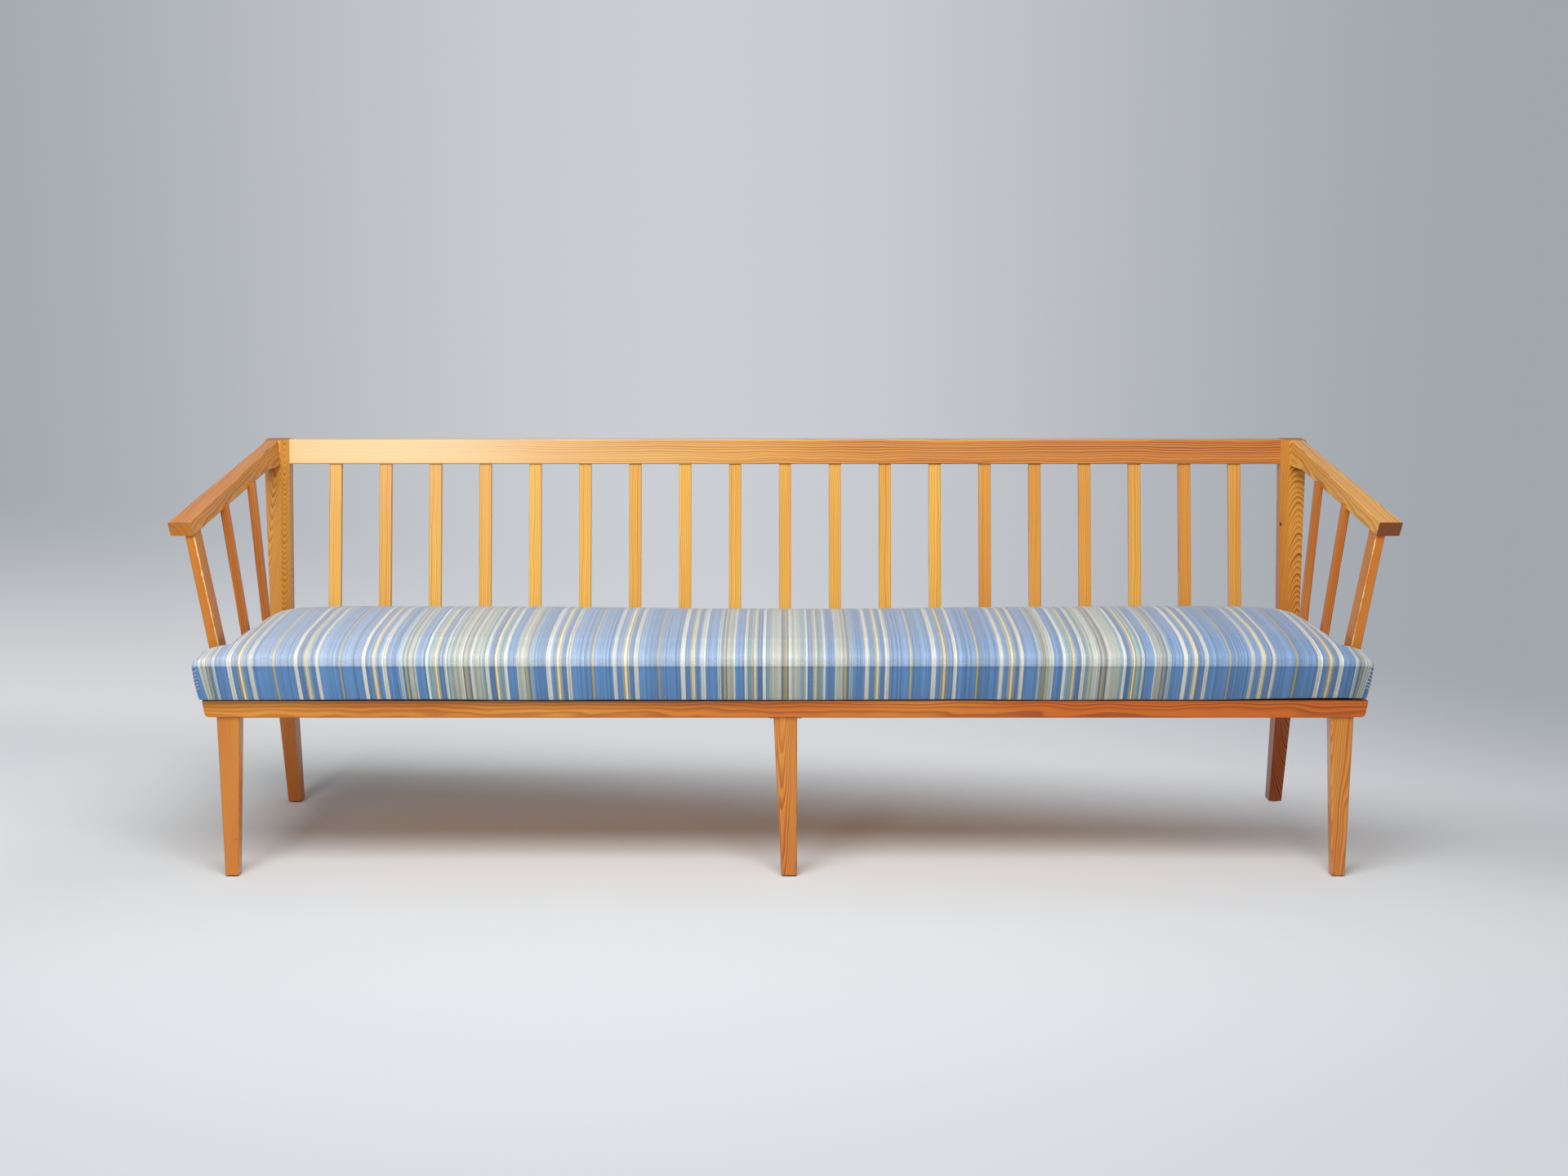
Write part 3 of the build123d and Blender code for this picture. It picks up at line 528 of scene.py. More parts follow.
@dataclass(frozen=True)
class Metal:
    """Plated steel of the strap and the screws, finely brushed along X."""

    bright: Colour
    dull: Colour

    def build(self, name: str) -> Finish:
        """Make the material.

        Args:
            name: Its name.

        Returns:
            The material.
        """
        graph = Graph.of_material(name)
        x, y, z = graph.split(graph.place)
        lines = graph.noise(graph.join(x * 60.0, y * 3000.0, z * 3000.0), detail=2.0)
        spots = graph.noise(graph.place, 420.0, 3.0)
        colour = graph.blend(graph.rise(spots, 0.45, 0.8), self.bright, self.dull)
        return graph.surface({"Base Color": colour, "Metallic": graph.rise(spots, 1.1, 0.4),
                              "Roughness": lines * 0.2 + spots * 0.15 + 0.2,
                              "Normal": graph.bumps(lines, 0.0001, 0.3)})


@dataclass(frozen=True)
class StripedCloth:
    """Heavy warp-striped upholstery cloth, woven in twill."""

    repeat: float = 0.571  # width after which the stripes come again
    end_width: float = 0.0013  # width of one warp end
    pair_width: float = 0.0029  # width of ends that came off one bobbin
    pick: float = 0.0024  # height of one weft pick
    twill_width: float = 0.0060  # half a zigzag of the twill line
    twill_pitch: float = 0.0022  # half the spacing of the twill lines
    edge: float = 0.0015  # how soft the fold in front is
    # Warp order, as the millimetre where each stripe begins and its yarn. It runs from
    # the middle of the cloth and is mirrored there and at its own end.
    order: tuple[tuple[float, Yarn], ...] = (
        (0.0, Yarn.OCHRE), (2.5, Yarn.NAVY), (6.6, Yarn.CREAM), (12.9, Yarn.SAGE),
        (28.6, Yarn.TEAL), (34.2, Yarn.WHITE), (39.7, Yarn.STRONG_BLUE), (48.5, Yarn.OCHRE),
        (51.9, Yarn.WHITE), (55.2, Yarn.OCHRE), (58.7, Yarn.TEAL), (67.6, Yarn.WHITE),
        (72.4, Yarn.BLUE), (90.3, Yarn.CREAM), (92.5, Yarn.SAGE), (102.8, Yarn.NAVY),
        (105.7, Yarn.OCHRE), (110.1, Yarn.NAVY), (113.1, Yarn.TEAL), (115.5, Yarn.CREAM),
        (116.6, Yarn.TEAL), (118.6, Yarn.CREAM), (119.6, Yarn.TEAL), (120.4, Yarn.BLUE),
        (142.5, Yarn.WHITE), (149.8, Yarn.BLUE), (158.6, Yarn.OCHRE), (162.2, Yarn.WHITE),
        (166.8, Yarn.OCHRE), (170.4, Yarn.BLUE), (179.9, Yarn.WHITE), (186.5, Yarn.BLUE),
        (221.8, Yarn.NAVY), (223.2, Yarn.OCHRE), (226.4, Yarn.NAVY), (227.6, Yarn.BLUE),
        (262.9, Yarn.WHITE), (269.5, Yarn.BLUE), (279.0, Yarn.OCHRE), (282.9, Yarn.WHITE))

    MOST_STOPS = 30  # stripes that one ramp takes
    # How much the yarns' slubs, their dye, their grain, stains, pairs of ends and the
    # rib between two ends change the brightness.
    SLUB, DYE, GRAIN, STAIN, PAIR, RIB = 0.34, 0.30, 0.60, 0.14, 0.40, 0.14
    TWILL, TWILL_LOST = 0.44, 0.22  # the same of the twill, and how much less of it shows on the top panel

    def stripes(self, graph: Graph, across: Socket) -> Socket:
        """Yarn colour by the place across the cloth.

        Args:
            graph: The material's graph.
            across: Distance from the middle of the cloth.

        Returns:
            The colour.
        """
        half = self.repeat / 2
        folded = graph.math("PINGPONG", across, half) / half
        stops = [(start / 1000 / half, yarn.value) for start, yarn in self.order]
        first, rest = stops[:self.MOST_STOPS], stops[self.MOST_STOPS:]
        switch = graph.math("GREATER_THAN", folded, rest[0][0])
        rest = [(0.0, rest[0][1]), *rest[1:]]
        low, high = (graph.value("ValToRGB", {"Fac": folded}, stops=part) for part in (first, rest))
        return graph.blend(switch, low, high)

    def build(self) -> Finish:
        """Make the material.

        Returns:
            The material.
        """
        graph = Graph.of_material("striped_cloth")
        across, down, _ = graph.split(graph.value("UVMap", {}, uv_map=CLOTH_MAP))
        ends = across / self.end_width
        end = graph.math("FLOOR", ends)
        dye, fuzz, _ = graph.chance(end)
        picks = graph.math("PINGPONG", down / self.pick + end * 0.5, 1.0)
        weft = graph.rise(picks, 0.36, 0.10)
        rib = graph.math("PINGPONG", ends, 0.5) * 2.0
        slub = graph.noise(graph.join(end * 3.7, down * 26.0, 0.0), detail=2.0) - 0.5
        grain = graph.noise(graph.join(across * 420.0, down * 300.0, 0.0), detail=1.0) - 0.5
        stain = graph.noise(graph.join(across * 14.0, down * 9.0, 0.0), detail=2.0) - 0.5
        zigzag = graph.math("PINGPONG", across, self.twill_width)
        twill = graph.math("PINGPONG", (down + zigzag) / self.twill_pitch, 1.0) - 0.5
        pair = graph.chance(graph.math("FLOOR", across / self.pair_width))[0] - 0.5

        colour = self.stripes(graph, (end + 0.5) * self.end_width)
        colour = graph.blend(weft * 0.40, colour, Yarn.WEFT.value)
        top = graph.rise(down, -self.edge, self.edge)
        # painted sheen: the top panel is painted paler, most on the left and just behind the front
        # seam
        fading = graph.rise(down, 0.05, 0.0) * 0.07 + (0.22 - across * 0.12)
        colour = graph.blend(top * fading, colour, Yarn.FADED.value)
        shade = slub * self.SLUB + (dye - 0.5) * self.DYE + grain * self.GRAIN
        shade = shade + stain * self.STAIN + pair * self.PAIR + rib * self.RIB
        shade = shade + twill * (self.TWILL - top * self.TWILL_LOST) + 1.0
        # painted shade: the front panel is painted darker, and the whole cloth darker towards the
        # right
        deeper = (1.0 - top) * (across * 0.08 + 0.06) + across * 0.03
        colour = graph.lighten(colour, shade * (1.0 - deeper))
        height = rib * 0.55 + (1.0 - weft) * 0.45 + grain * 0.5
        return graph.surface({
            "Base Color": colour, "Roughness": fuzz * 0.06 + 0.82,
            "Specular IOR Level": 0.3, "Sheen Weight": 1.0, "Sheen Roughness": 0.4,
            "Sheen Tint": Yarn.SHEEN.value, "Normal": graph.bumps(height, 0.0005, 0.5)})


# ---------------------------------------------------------------- helpers
def dress(node: str, material: Finish) -> None:
    """Put a finish on every material slot of a CAD node's object."""
    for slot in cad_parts[node].material_slots:
        slot.link = "OBJECT"
        slot.material = material


def dress_each(cuts: dict[str, Pine]) -> None:
    """Build the pine of each node and put it on."""
    for node, cut in cuts.items():
        dress(node, cut.build(f"{node}_pine"))
        LOG.info("dressed %s", node)


def add_shell(name: str, shell: Shell, material: Finish) -> bpy.types.Object:
    """Put a mesh in the scene.

    Args:
        name: Name of the piece.
        shell: Its mesh, which is freed.
        material: Its finish.

    Returns:
        The object.
    """
    mesh = bpy.data.meshes.new(name)
    shell.to_mesh(mesh)
    shell.free()
    mesh.materials.append(material)
    made = bpy.data.objects.new(name, mesh)
    bpy.context.scene.collection.objects.link(made)
    return made


def bridge(shell: Shell, rings: list[list[bmesh.types.BMVert]], smooth: bool) -> None:
    """Skin closed rings of points in order, and close both ends.

    Args:
        shell: The mesh that gets the faces.
        rings: The rings, with the same number of points.
        smooth: Whether the skin is shaded smooth.
    """
    for low, high in zip(rings, rings[1:]):
        for i in range(len(low)):
            shell.faces.new((low[i - 1], low[i], high[i], high[i - 1])).smooth = smooth
    shell.faces.new(list(reversed(rings[0])))
    shell.faces.new(rings[-1])


def unit(value: float) -> float:
    """The value, kept from 0 to 1."""
    return min(1.0, max(0.0, value))


def divided(stops: list[float], step: float) -> list[float]:
    """Places from the first stop to the last.

    Args:
        stops: Places that are kept, in order.
        step: The widest gap between two places.

    Returns:
        The places.
    """
    places = [stops[0]]
    for low, high in zip(stops, stops[1:]):
        count = max(1, math.ceil((high - low) / step - 1e-6))
        places += [low + (high - low) * (i + 1) / count for i in range(count)]
    return places


# ---------------------------------------------------------------- wooden frame
@dataclass
class BackRest:
    """Raked back: posts, top rail and upright slats."""

    rake: float = math.radians(12.0)
    slat_count: int = 19
    slat_pitch: float = 0.1028

    def build(self) -> None:
        """Dress the posts, the rails and the slats."""
        dress_each({
            "back_top_rail": Pine((1, 0.001, 0.003), (0.0, 0.27, 0.60), ring=0.0048,
                                  wander=0.0012, tone=0.46, contrast=1.0, gloss=0.8,
                                  drift=(0.32, 0.0, 0.0), bleached=0.62, seed=3.1),
            "back_post_left": Pine((0.0725, 0.1592, 1.0), (-1.0592, 0.2470, 0.46), ring=0.0011,
                                   wander=0.0008, tone=0.78, gloss=0.15,
                                   drift=(0.0, 0.0, -0.7), seed=7.7),
            "back_post_right": Pine((0.0187, 0.07, 1.0), (1.044, 0.178, 0.33), ring=0.0018,
                                    wander=0.0010, tone=1.18, contrast=1.0, gloss=0.1,
                                    drift=(0.0, 0.0, -1.2), seed=1.9,
                                    knots=(Knot((1.0175, 0.257, 0.577), 0.0045),)),
            "back_seat_rail": Pine((1, 0, 0), (0.0, 0.30, 0.20), tone=0.5, seed=5.5),
            "slat_ledger": Pine((1, 0, 0), (0.0, 0.25, 0.28), tone=0.5, seed=6.5),
        })
        slats = Pine((0.0, math.sin(self.rake), math.cos(self.rake)), (0.055, 0.285, 0.5),
                     ring=0.0034, wander=0.0015, tone=0.20, contrast=0.55,
                     drift=(0.24, 0.0, 0.0), scatter=(0.05, 0.05),
                     row=Row(self.slat_pitch, self.slat_pitch / 2), seed=11.3)
        material = slats.build("back_slat_pine")
        for number in range(1, self.slat_count + 1):
            dress(f"back_slat_{number:02d}", material)
        LOG.info("dressed %d back slats", self.slat_count)


@dataclass
class SideFrame:
    """One side: arm, arm post, spindles, side rail and guide strip."""

    side: str  # left or right
    tone: float  # depth of its colour
    arm_tone: float  # depth of the arm's own colour
    arm_end: float  # how dark the arm's sawn end is
    chips: float  # how far the wear of the arm post's edge reaches

    def build(self) -> None:
        """Dress the pieces of this side."""
        way = -1.0 if self.side == "left" else 1.0
        tone = self.tone
        edge = RubbedEdge((way * 1.0266, -0.254, 0.40), (way * 1.0655, -0.254, 0.625), self.chips)
        cuts = {
            "arm": Pine((-way * 0.0445, 0.537, 0.088), (way * 1.118, -0.262, 0.622), ring=0.0026,
                        wander=0.001, tone=self.arm_tone, contrast=0.75, ends=self.arm_end,
                        seed=2.2 + way),
            "arm_post": Pine((way * 0.173, 0.0, 1.0), (way * 1.0, -0.30, 0.5), ring=0.0016,
                             tone=tone + 0.1, contrast=0.45, gloss=0.12, rubbed=edge,
                             seed=4.4 + way),
            "front_arm_spindle": Pine((way * 0.127, 0.02, 1.0), (way * 1.05, -0.10, 0.5),
                                      ring=0.002, tone=tone + 0.1, seed=6.1 + way),
            "rear_arm_spindle": Pine((way * 0.068, 0.02, 1.0), (way * 1.05, 0.05, 0.5),
                                     ring=0.002, tone=tone + 0.15, contrast=1.0, seed=8.3 + way),
            "side_rail": Pine((0, 1, 0), (way * 1.10, 0.0, 0.26), tone=tone, seed=9.9 + way),
            "guide_strip": Pine((0, 1, 0), (way * 0.90, 0.0, 0.30), tone=0.8, seed=12.4 + way),
        }
        dress_each({f"{piece}_{self.side}": cut for piece, cut in cuts.items()})


@dataclass
class PullOutFront:
    """Sliding unit: front rail, legs, runners and batten."""

    def build(self) -> None:
        """Dress the pieces of the sliding unit."""
        dress_each({
            "front_rail": Pine((1, 0, 0.002), (0.0, -0.256, 0.305), ring=0.0030, wander=0.0008,
                               tone=0.88, contrast=0.7, gloss=0.2, drift=(0.24, 0.0, 0.0),
                               dirt=0.3325, seed=21.0),
            "front_leg_left": Pine((0, 0, 1), (-1.06, -0.27, 0.15), ring=0.0016, tone=0.66,
                                   contrast=0.35, seed=22.0,
                                   knots=(Knot((-1.0075, -0.2866, 0.072), 0.0012),)),
            "front_leg_middle": Pine((0.01, -0.05, 1.0), (-0.006, -0.268, 0.15), ring=0.0018,
                                     wander=0.002, tone=0.68, contrast=0.8, seed=23.0),
            "front_leg_right": Pine((0, 0, 1), (1.03, -0.262, 0.15), ring=0.0024, wander=0.002,
                                    tone=0.68, contrast=0.7, seed=24.0),
            "side_runner_left": Pine((0, 1, 0), (-0.90, 0.0, 0.36), tone=0.35, seed=25.0),
            "side_runner_right": Pine((0, 1, 0), (0.90, 0.0, 0.36), tone=0.35, seed=26.0),
            "middle_runner": Pine((0, 1, 0), (0.08, 0.0, 0.20), tone=0.35, seed=27.0),
            "rear_batten": Pine((1, 0, 0), (0.0, 0.30, 0.40), tone=0.4, seed=28.0),
            "front_cross_rail": Pine((1, 0, 0), (0.0, -0.10, 0.40), tone=0.4, seed=29.0),
        })


@dataclass
class SlattedSeat:
    """Fixed and sliding seat slats with their slotted, countersunk screws."""

    count: int = 41  # slats in both combs
    pitch: float = 1.960 / 41  # their spacing
    top: float = 0.336  # height of their tops
    margins: Pair = (0.0095, 0.012)  # of the screws, from the front and the back ends
    head: float = 0.0033  # radius of a screw head
    slot: float = 0.0005  # half width of its slot
    facets: int = 8  # of half a head
    # Rings of a head, as a share of its radius and a height over the slat.
    rings: tuple[Pair, ...] = ((1.0, -0.0002), (1.0, 0.00006), (0.7, 0.00028))

    def build(self) -> None:
        """Dress the slats and drive their screws."""
        row = Row(self.pitch, -self.pitch * self.count / 2)
        finish = Pine((0, 1, 0), (0.05, 0.0, 0.29), ring=0.0045, tone=0.30, row=row, seed=31.0)
        pine = finish.build("seat_slat_pine")
        steel = Metal(display(196, 196, 188), display(132, 128, 116)).build("zinc_plate")
        for node, body, first in (("fixed_seat_slats", "fixed_frame", 0),
                                  ("sliding_seat_slats", "pull_out", 1)):
            dress(node, pine)
            low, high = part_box(node)
            rows = (low.y + self.margins[0], high.y - self.margins[1])
            heads = add_shell(f"{node}_screws", self.screws(first, rows), steel)
            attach(heads, body)
            LOG.info("dressed %s and drove its screws", node)

    def screws(self, first: int, rows: Pair) -> Shell:
        """Screw heads, one at each end of every second slat.

        Args:
            first: Number of the first slat.
            rows: Y of the front row and of the back row.

        Returns:
            One mesh with all the heads.
        """
        shell = bmesh.new()
        for number in range(first, self.count, 2):
            x = (number + 0.5 - self.count / 2) * self.pitch
            for y in rows:
                turn = noise.noise(Vector((number * 1.7, y * 40.0, 3.0))) * math.pi
                place = Matrix.Translation((x, y, self.top)) @ Matrix.Rotation(turn, 4, "Z")
                self.add_head(shell, place)
        bmesh.ops.recalc_face_normals(shell, faces=shell.faces)
        return shell

    def add_head(self, shell: Shell, place: Matrix) -> None:
        """Add one slightly domed head, split by its slot into two closed halves.

        Args:
            shell: The mesh that it joins.
            place: Where its face goes.
        """
        turn = math.asin(self.slot / self.head)
        angles = [turn + (math.pi - 2 * turn) * i / self.facets for i in range(self.facets + 1)]
        arc = [(self.head * math.cos(angle), self.head * math.sin(angle)) for angle in angles]
        for way in (-1.0, 1.0):
            bridge(shell, [[shell.verts.new(place @ Vector(
                (share * x, way * max(self.slot, share * y), height))) for x, y in arc]
                for share, height in self.rings], smooth=False)


@dataclass
class SmallParts:
    """Felt pads, glides, strap and screws."""

    def build(self) -> None:
        """Dress the small parts."""
        felt, nylon = Felt().build(), Nylon().build()
        steel = Metal(display(176, 174, 168), display(118, 112, 104)).build("brushed_steel")
        for node, material in (("front_felt_pads", felt), ("back_felt_pad", felt),
                               ("front_glide", nylon), ("back_glide", nylon),
                               ("runner_keeper", steel), ("frame_screws", steel)):
            dress(node, material)
            LOG.info("dressed %s", node)


# ---------------------------------------------------------------- cushion
class Panel(Enum):
    """Panels of the cushion's cover, by the way they face."""

    TOP = "top"
    FOOT = "foot"
    FRONT = "front"
    BACK = "back"
    END = "end"


@dataclass(frozen=True)
class Shoulder:
    """Rounded fall from the crest of the filling out to a seam."""

    reach: float  # distance from the seam to where it is level
    power: float  # how full it is
    shares: tuple[float, ...]  # of the full height, where the mesh has a line

    def share(self, setback: float) -> float:
        """Share of the full height at a distance from the seam."""
        return (1 - (1 - unit(setback / self.reach)) ** 2) ** (1 / self.power)

    def lines(self) -> list[Pair]:
        """Distances of the mesh's lines from the seam, on the top and on the foot."""
        falls = [self.reach * (1 - math.sqrt(1 - share ** self.power)) for share in self.shares]
        return [(fall, falls[-1] * i / (len(falls) - 1)) for i, fall in enumerate(falls)]


@dataclass(frozen=True)
class Stitching:
    """Slanting overcast stitches of pale thread round an upright corner."""

    count: int = 7  # stitches on a corner
    first: float = 0.010  # height of the lowest over the foot
    pitch: float = 0.0082  # their spacing
    slant: float = 0.0016  # rise of half a stitch
    uneven: float = 0.0008  # how much that varies
    turn: float = 52.0  # how far a stitch goes round from the middle of the corner, in degrees
    points: int = 7  # of a stitch
    inset: float = 0.006  # of the corner's middle
    aim: float = 0.02  # how far outside of it the cloth is looked for
    radius: float = 0.00055  # of the thread
    sides: int = 6  # of the thread
    OVER, UNDER = 2.2, 0.9  # how far it rises off and dips into the cloth, in radii

    def material(self) -> Finish:
        """Make the thread's material.

        Returns:
            The material.
        """
        graph = Graph.of_material("sewing_thread")
        twist = graph.noise(graph.place, 2600.0, 1.0)
        colour = graph.blend(twist, Yarn.THREAD_SHADE.value, Yarn.THREAD.value)
        return graph.surface({"Base Color": colour, "Roughness": twist * 0.1 + 0.7,
                              "Sheen Weight": 0.3, "Normal": graph.bumps(twist, 0.0003, 0.6)})

    def sew(self, cover: bpy.types.Object, corners: list[Vector]) -> bpy.types.Object:
        """Overcast the upright corner seams.

        Args:
            cover: The cover that the stitches lie on.
            corners: Feet of the corners.

        Returns:
            One object with all the stitches.
        """
        cloth = cover.evaluated_get(bpy.context.evaluated_depsgraph_get())
        shell = bmesh.new()
        half = (self.points - 1) / 2
        for corner in corners:
            way = math.copysign(1.0, corner.x)
            for number in range(self.count):
                height = self.first + self.pitch * number
                middle = corner + Vector((-way * self.inset, self.inset, height))
                chance = noise.noise(Vector((number * 2.3, way, 0.0)))
                slant = self.slant + self.uneven * chance
                path = []
                for place in range(self.points):
                    turn = math.radians(45.0 - self.turn + self.turn * place / half)
                    out = Vector((way * math.cos(turn) * self.aim, -math.sin(turn) * self.aim,
                                  slant * (place - half) / (half / 2)))
                    _, at, normal, _ = cloth.closest_point_on_mesh(middle + out)
                    path.append((at, normal))
                self.add_stitch(shell, path, way)
        return add_shell("corner_stitches", shell, self.material())

    def add_stitch(self, shell: Shell, path: list, way: float) -> None:
        """Add one thread that dips into the cloth at both ends.

        Args:
            shell: The mesh that it joins.
            path: Points on the cloth with the cloth's normals.
            way: -1 at the left end, 1 at the right end.
        """
        rings = []
        last = len(path) - 1
        for i, (at, normal) in enumerate(path):
            along = (path[min(last, i + 1)][0] - path[max(0, i - 1)][0]).normalized()
            across = along.cross(normal).normalized()
            rise = self.OVER * math.sin(math.pi * i / last) ** 0.6 - self.UNDER
            turns = [2 * math.pi * k / self.sides * way for k in range(self.sides)]
            rings.append([shell.verts.new(at + self.radius * (
                normal * (rise + math.sin(turn)) + across * math.cos(turn))) for turn in turns])
        bridge(shell, rings, smooth=True)


@dataclass
class SeatCushion:
    """Loose cushion: a sewn striped cover, filled, swollen and laid on the slats."""

    notch: float = 1.0106  # half length of the part between the arm frames
    left: float = -1.0650  # X of the left end of the seam
    right: float = 1.0565  # X of the right end of the seam
    ear_back: float = -0.2624  # Y of the back of the corners that wrap ahead of the arm posts
    front_height: float = 0.0688  # height of the front seam above the foot
    crest: float = 0.0470  # height of the crest above the front seam
    back_fall: float = 1.05  # share of the crest that the back edge has lost
    back_bend: float = 1.6  # how late it falls to the back; more is later
    fullness: float = 0.85  # how full it is where two shoulders meet; less is fuller
    side_fall: float = 0.026  # how much lower than the top its edges between the arm frames get
    side_roll: float = 0.034  # width of that fall
    side_grow: Pair = (0.040, 1.5)  # how that fall grows to the back, and to what power
    front: Shoulder = Shoulder(0.278, 3.73, (0.0, 0.1, 0.2, 0.3, 0.4, 0.5, 0.6, 0.7))
    end: Shoulder = Shoulder(0.25, 3.0, (0.0, 0.15, 0.3, 0.42, 0.52, 0.6))
    worn: float = 0.0055  # how much lower the crest is in the middle, where people sit
    worn_width: float = 0.45  # how far to each side
    worn_start: float = 0.1  # how far behind the front seam it is full
    ripple: float = 0.0009  # height of slow ripples in the top
    ripple_start: float = 0.05  # how far behind the front seam they are full
    front_lean: float = 0.028  # how far the front seam stands out over the foot
    lean_depth: float = 0.12  # depth in which the foot gives way to that
    front_bulge: float = 0.25  # how far the front panel bulges, as a share of that
    tuck: float = 0.0022  # how far the foot's front edge still comes forward
    foot_taper: float = 0.0030  # how much narrower the foot is at each end
    corner: float = 0.007  # radius of the upright corners in front
    ease: float = 0.0015  # gap to the arm frames and the back
    skin: float = 0.0006  # the least of it that is left after filling
    swell: float = 0.001  # how far the filling may push the front and the ends out
    step: float = 0.0125  # spacing of the mesh
    crease: float = 0.0035  # width of the fold at a crisp edge
    edge_lines: Pair = (0.010, 0.018)  # lines of the mesh inside of the arm frames
    wrap_lines: Pair = (0.039, 0.038)  # line in the left wrap and in the right one
    ear_line: float = 0.009  # line ahead of the arm posts
    seam_crease: float = 0.6  # how sharp the front seam is
    lift: float = 0.0030  # how far the foot's front edge lifts off the front rail
    lift_place: Pair = (0.6, 0.4)  # X where the right end starts to lift, and in what length
    wall: float = 0.19  # height of the walls' faces, as a share of the wall
    frames: int = 20  # of the filling
    most: float = 0.0035  # farthest that it moves a point
    settle: float = 0.04  # how far behind the front seam the top moves in full
    evening: int = 10  # how many times the swelling is evened out
    low: Vector = field(init=False)
    high: Vector = field(init=False)

    APART = 1.0  # metres between the panels on the uncut cloth
    STEEP = 0.8  # upward part of a face's normal, less than which it is a wall
    FOOT_ZONE, SEAM_ZONE = 0.004, 0.001  # heights over the foot and the front seam that are held
    FOOT_GRIP, WALL_GRIP = 1.0, 0.92  # how firmly
    KEPT = 0.4  # share of its own move that a point keeps in each evening

    def __post_init__(self) -> None:
        """Take the room that its solid fills."""
        self.low, self.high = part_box("seat_cushion")

    def top_height(self, x: float, y: float) -> float:
        """Height of the top of the unfilled cover above its foot.

        Args:
            x: Place along the bench.
            y: Place in depth.

        Returns:
            The height.
        """
        setback = y - self.low.y
        behind = (setback - self.front.reach) / (self.high.y - self.low.y - self.front.reach)
        rise = self.front.share(setback) * self.end.share(min(x - self.left, self.right - x))
        rise = rise ** self.fullness
        rise = (rise - self.back_fall * unit(behind) ** self.back_bend * rise) * self.crest
        worn = self.worn * math.exp(-(x / self.worn_width) ** 2) * unit(setback / self.worn_start)
        inward = unit((y - self.ear_back) / (self.high.y - self.ear_back))
        edge_gap = max(0.0, self.notch - abs(x))
        fall = min(self.side_fall, self.side_grow[0] * inward ** self.side_grow[1])
        rise -= fall * unit(1 - edge_gap / self.side_roll) ** 2
        ripple = self.ripple * noise.noise(Vector((x * 6.0, y * 5.0, 0.7)))
        return self.front_height + rise - worn + ripple * unit(setback / self.ripple_start)

    def rounded(self, x: float, y: float) -> Pair:
        """Move a place in plan inside the rounded upright corners in front.

        Args:
            x: Place along the bench.
            y: Place in depth.

        Returns:
            The place.
        """
        end = self.right if x > 0 else self.left
        across = unit(1 - abs(end - x) / self.corner)
        ahead = unit(1 - (y - self.low.y) / self.corner)
        if across == 0 or ahead == 0:
            return x, y
        shrink = 1 - max(across, ahead) / math.hypot(across, ahead)
        return (x - math.copysign(across * shrink * self.corner, x),
                y + ahead * shrink * self.corner)

    def top_point(self, x: float, y: float) -> Vector:
        """Point of the unfilled cover's top panel."""
        return Vector((*self.rounded(x, y), self.low.z + self.top_height(x, y)))

    def foot_point(self, column: Pair, row: Pair) -> Vector:
        """Point of the unfilled cover's underside, which lifts a little in front.

        Args:
            column: Place along the bench, on the top and on the foot.
            row: Place in depth, on the top and on the foot.

        Returns:
            The point.
        """
        ahead = max(0.0, 1 - (row[1] - self.low.y) / self.lean_depth)
        waves = max(0.0, 0.1 + noise.noise(Vector((column[0] * 5.0, 2.3, 0.0))))
        lift = unit((column[0] - self.lift_place[0]) / self.lift_place[1]) ** 2 + 0.7 * waves
        tuck = self.tuck if row[0] < self.low.y + 1e-6 else 0.0
        x, y = self.rounded(column[1], row[1])
        return Vector((x * (1 - self.foot_taper / self.high.x),
                       y + self.front_lean * ahead - tuck, self.low.z + self.lift * lift * ahead))

    def columns(self) -> list[Pair]:
        """Columns of the mesh.

        Returns:
            Places along the bench, on the top and on the foot.
        """
        notch = self.notch - self.ease
        edge = [notch, *(notch - gap for gap in (self.crease, *self.edge_lines))]
        middle = divided([*(-x for x in edge), *reversed(edge)], self.step)
        inner = [self.left + self.wrap_lines[0], -notch - self.crease, *middle,
                 notch + self.crease, self.right - self.wrap_lines[1]]
        left = [(self.left + top, self.left + foot) for top, foot in self.end.lines()]
        right = [(self.right - top, self.right - foot) for top, foot in self.end.lines()]
        return [*left, *((x, x) for x in inner), *reversed(right)]

    def rows(self) -> list[Pair]:
        """Rows of the mesh.

        Returns:
            Places in depth, on the top and on the foot.
        """
        ear_back, back = self.ear_back - self.ease, self.high.y - self.ease
        rest = divided([ear_back - self.ear_line, ear_back - self.crease, ear_back,
                        ear_back + self.crease, back - self.crease, back], self.step)
        front = [(self.low.y + top, self.low.y + foot) for top, foot in self.front.lines()]
        return [*front, *((y, y) for y in rest)]

    def shell(self) -> Shell:
        """Sew the cover: a top, an underside and a wall along their edges, with a cloth map.

        Returns:
            The cover's mesh.
        """
        notch, ear_back = self.notch - self.ease, self.ear_back - self.ease
        columns, rows = self.columns(), self.rows()
        levels = divided([0.0, 0.06, 0.94, 1.0], self.wall)
        tops = [[self.top_point(x, y) for y, _ in rows] for x, _ in columns]
        middle = tops[len(columns) // 2]
        down = [0.0]
        for before, after in zip(middle, middle[1:]):
            down.append(down[-1] + (after - before).length)
        across = self.lengths_across(columns, tops)
        cells = [(i, j) for i in range(len(columns) - 1) for j in range(len(rows) - 1)
                 if abs(columns[i][0] + columns[i + 1][0]) / 2 < notch
                 or rows[j + 1][0] <= ear_back + 1e-9]
        shell = bmesh.new()
        cloth = shell.loops.layers.uv.new(CLOTH_MAP)
        points: dict[Spot, bmesh.types.BMVert] = {}
        last = len(levels) - 1

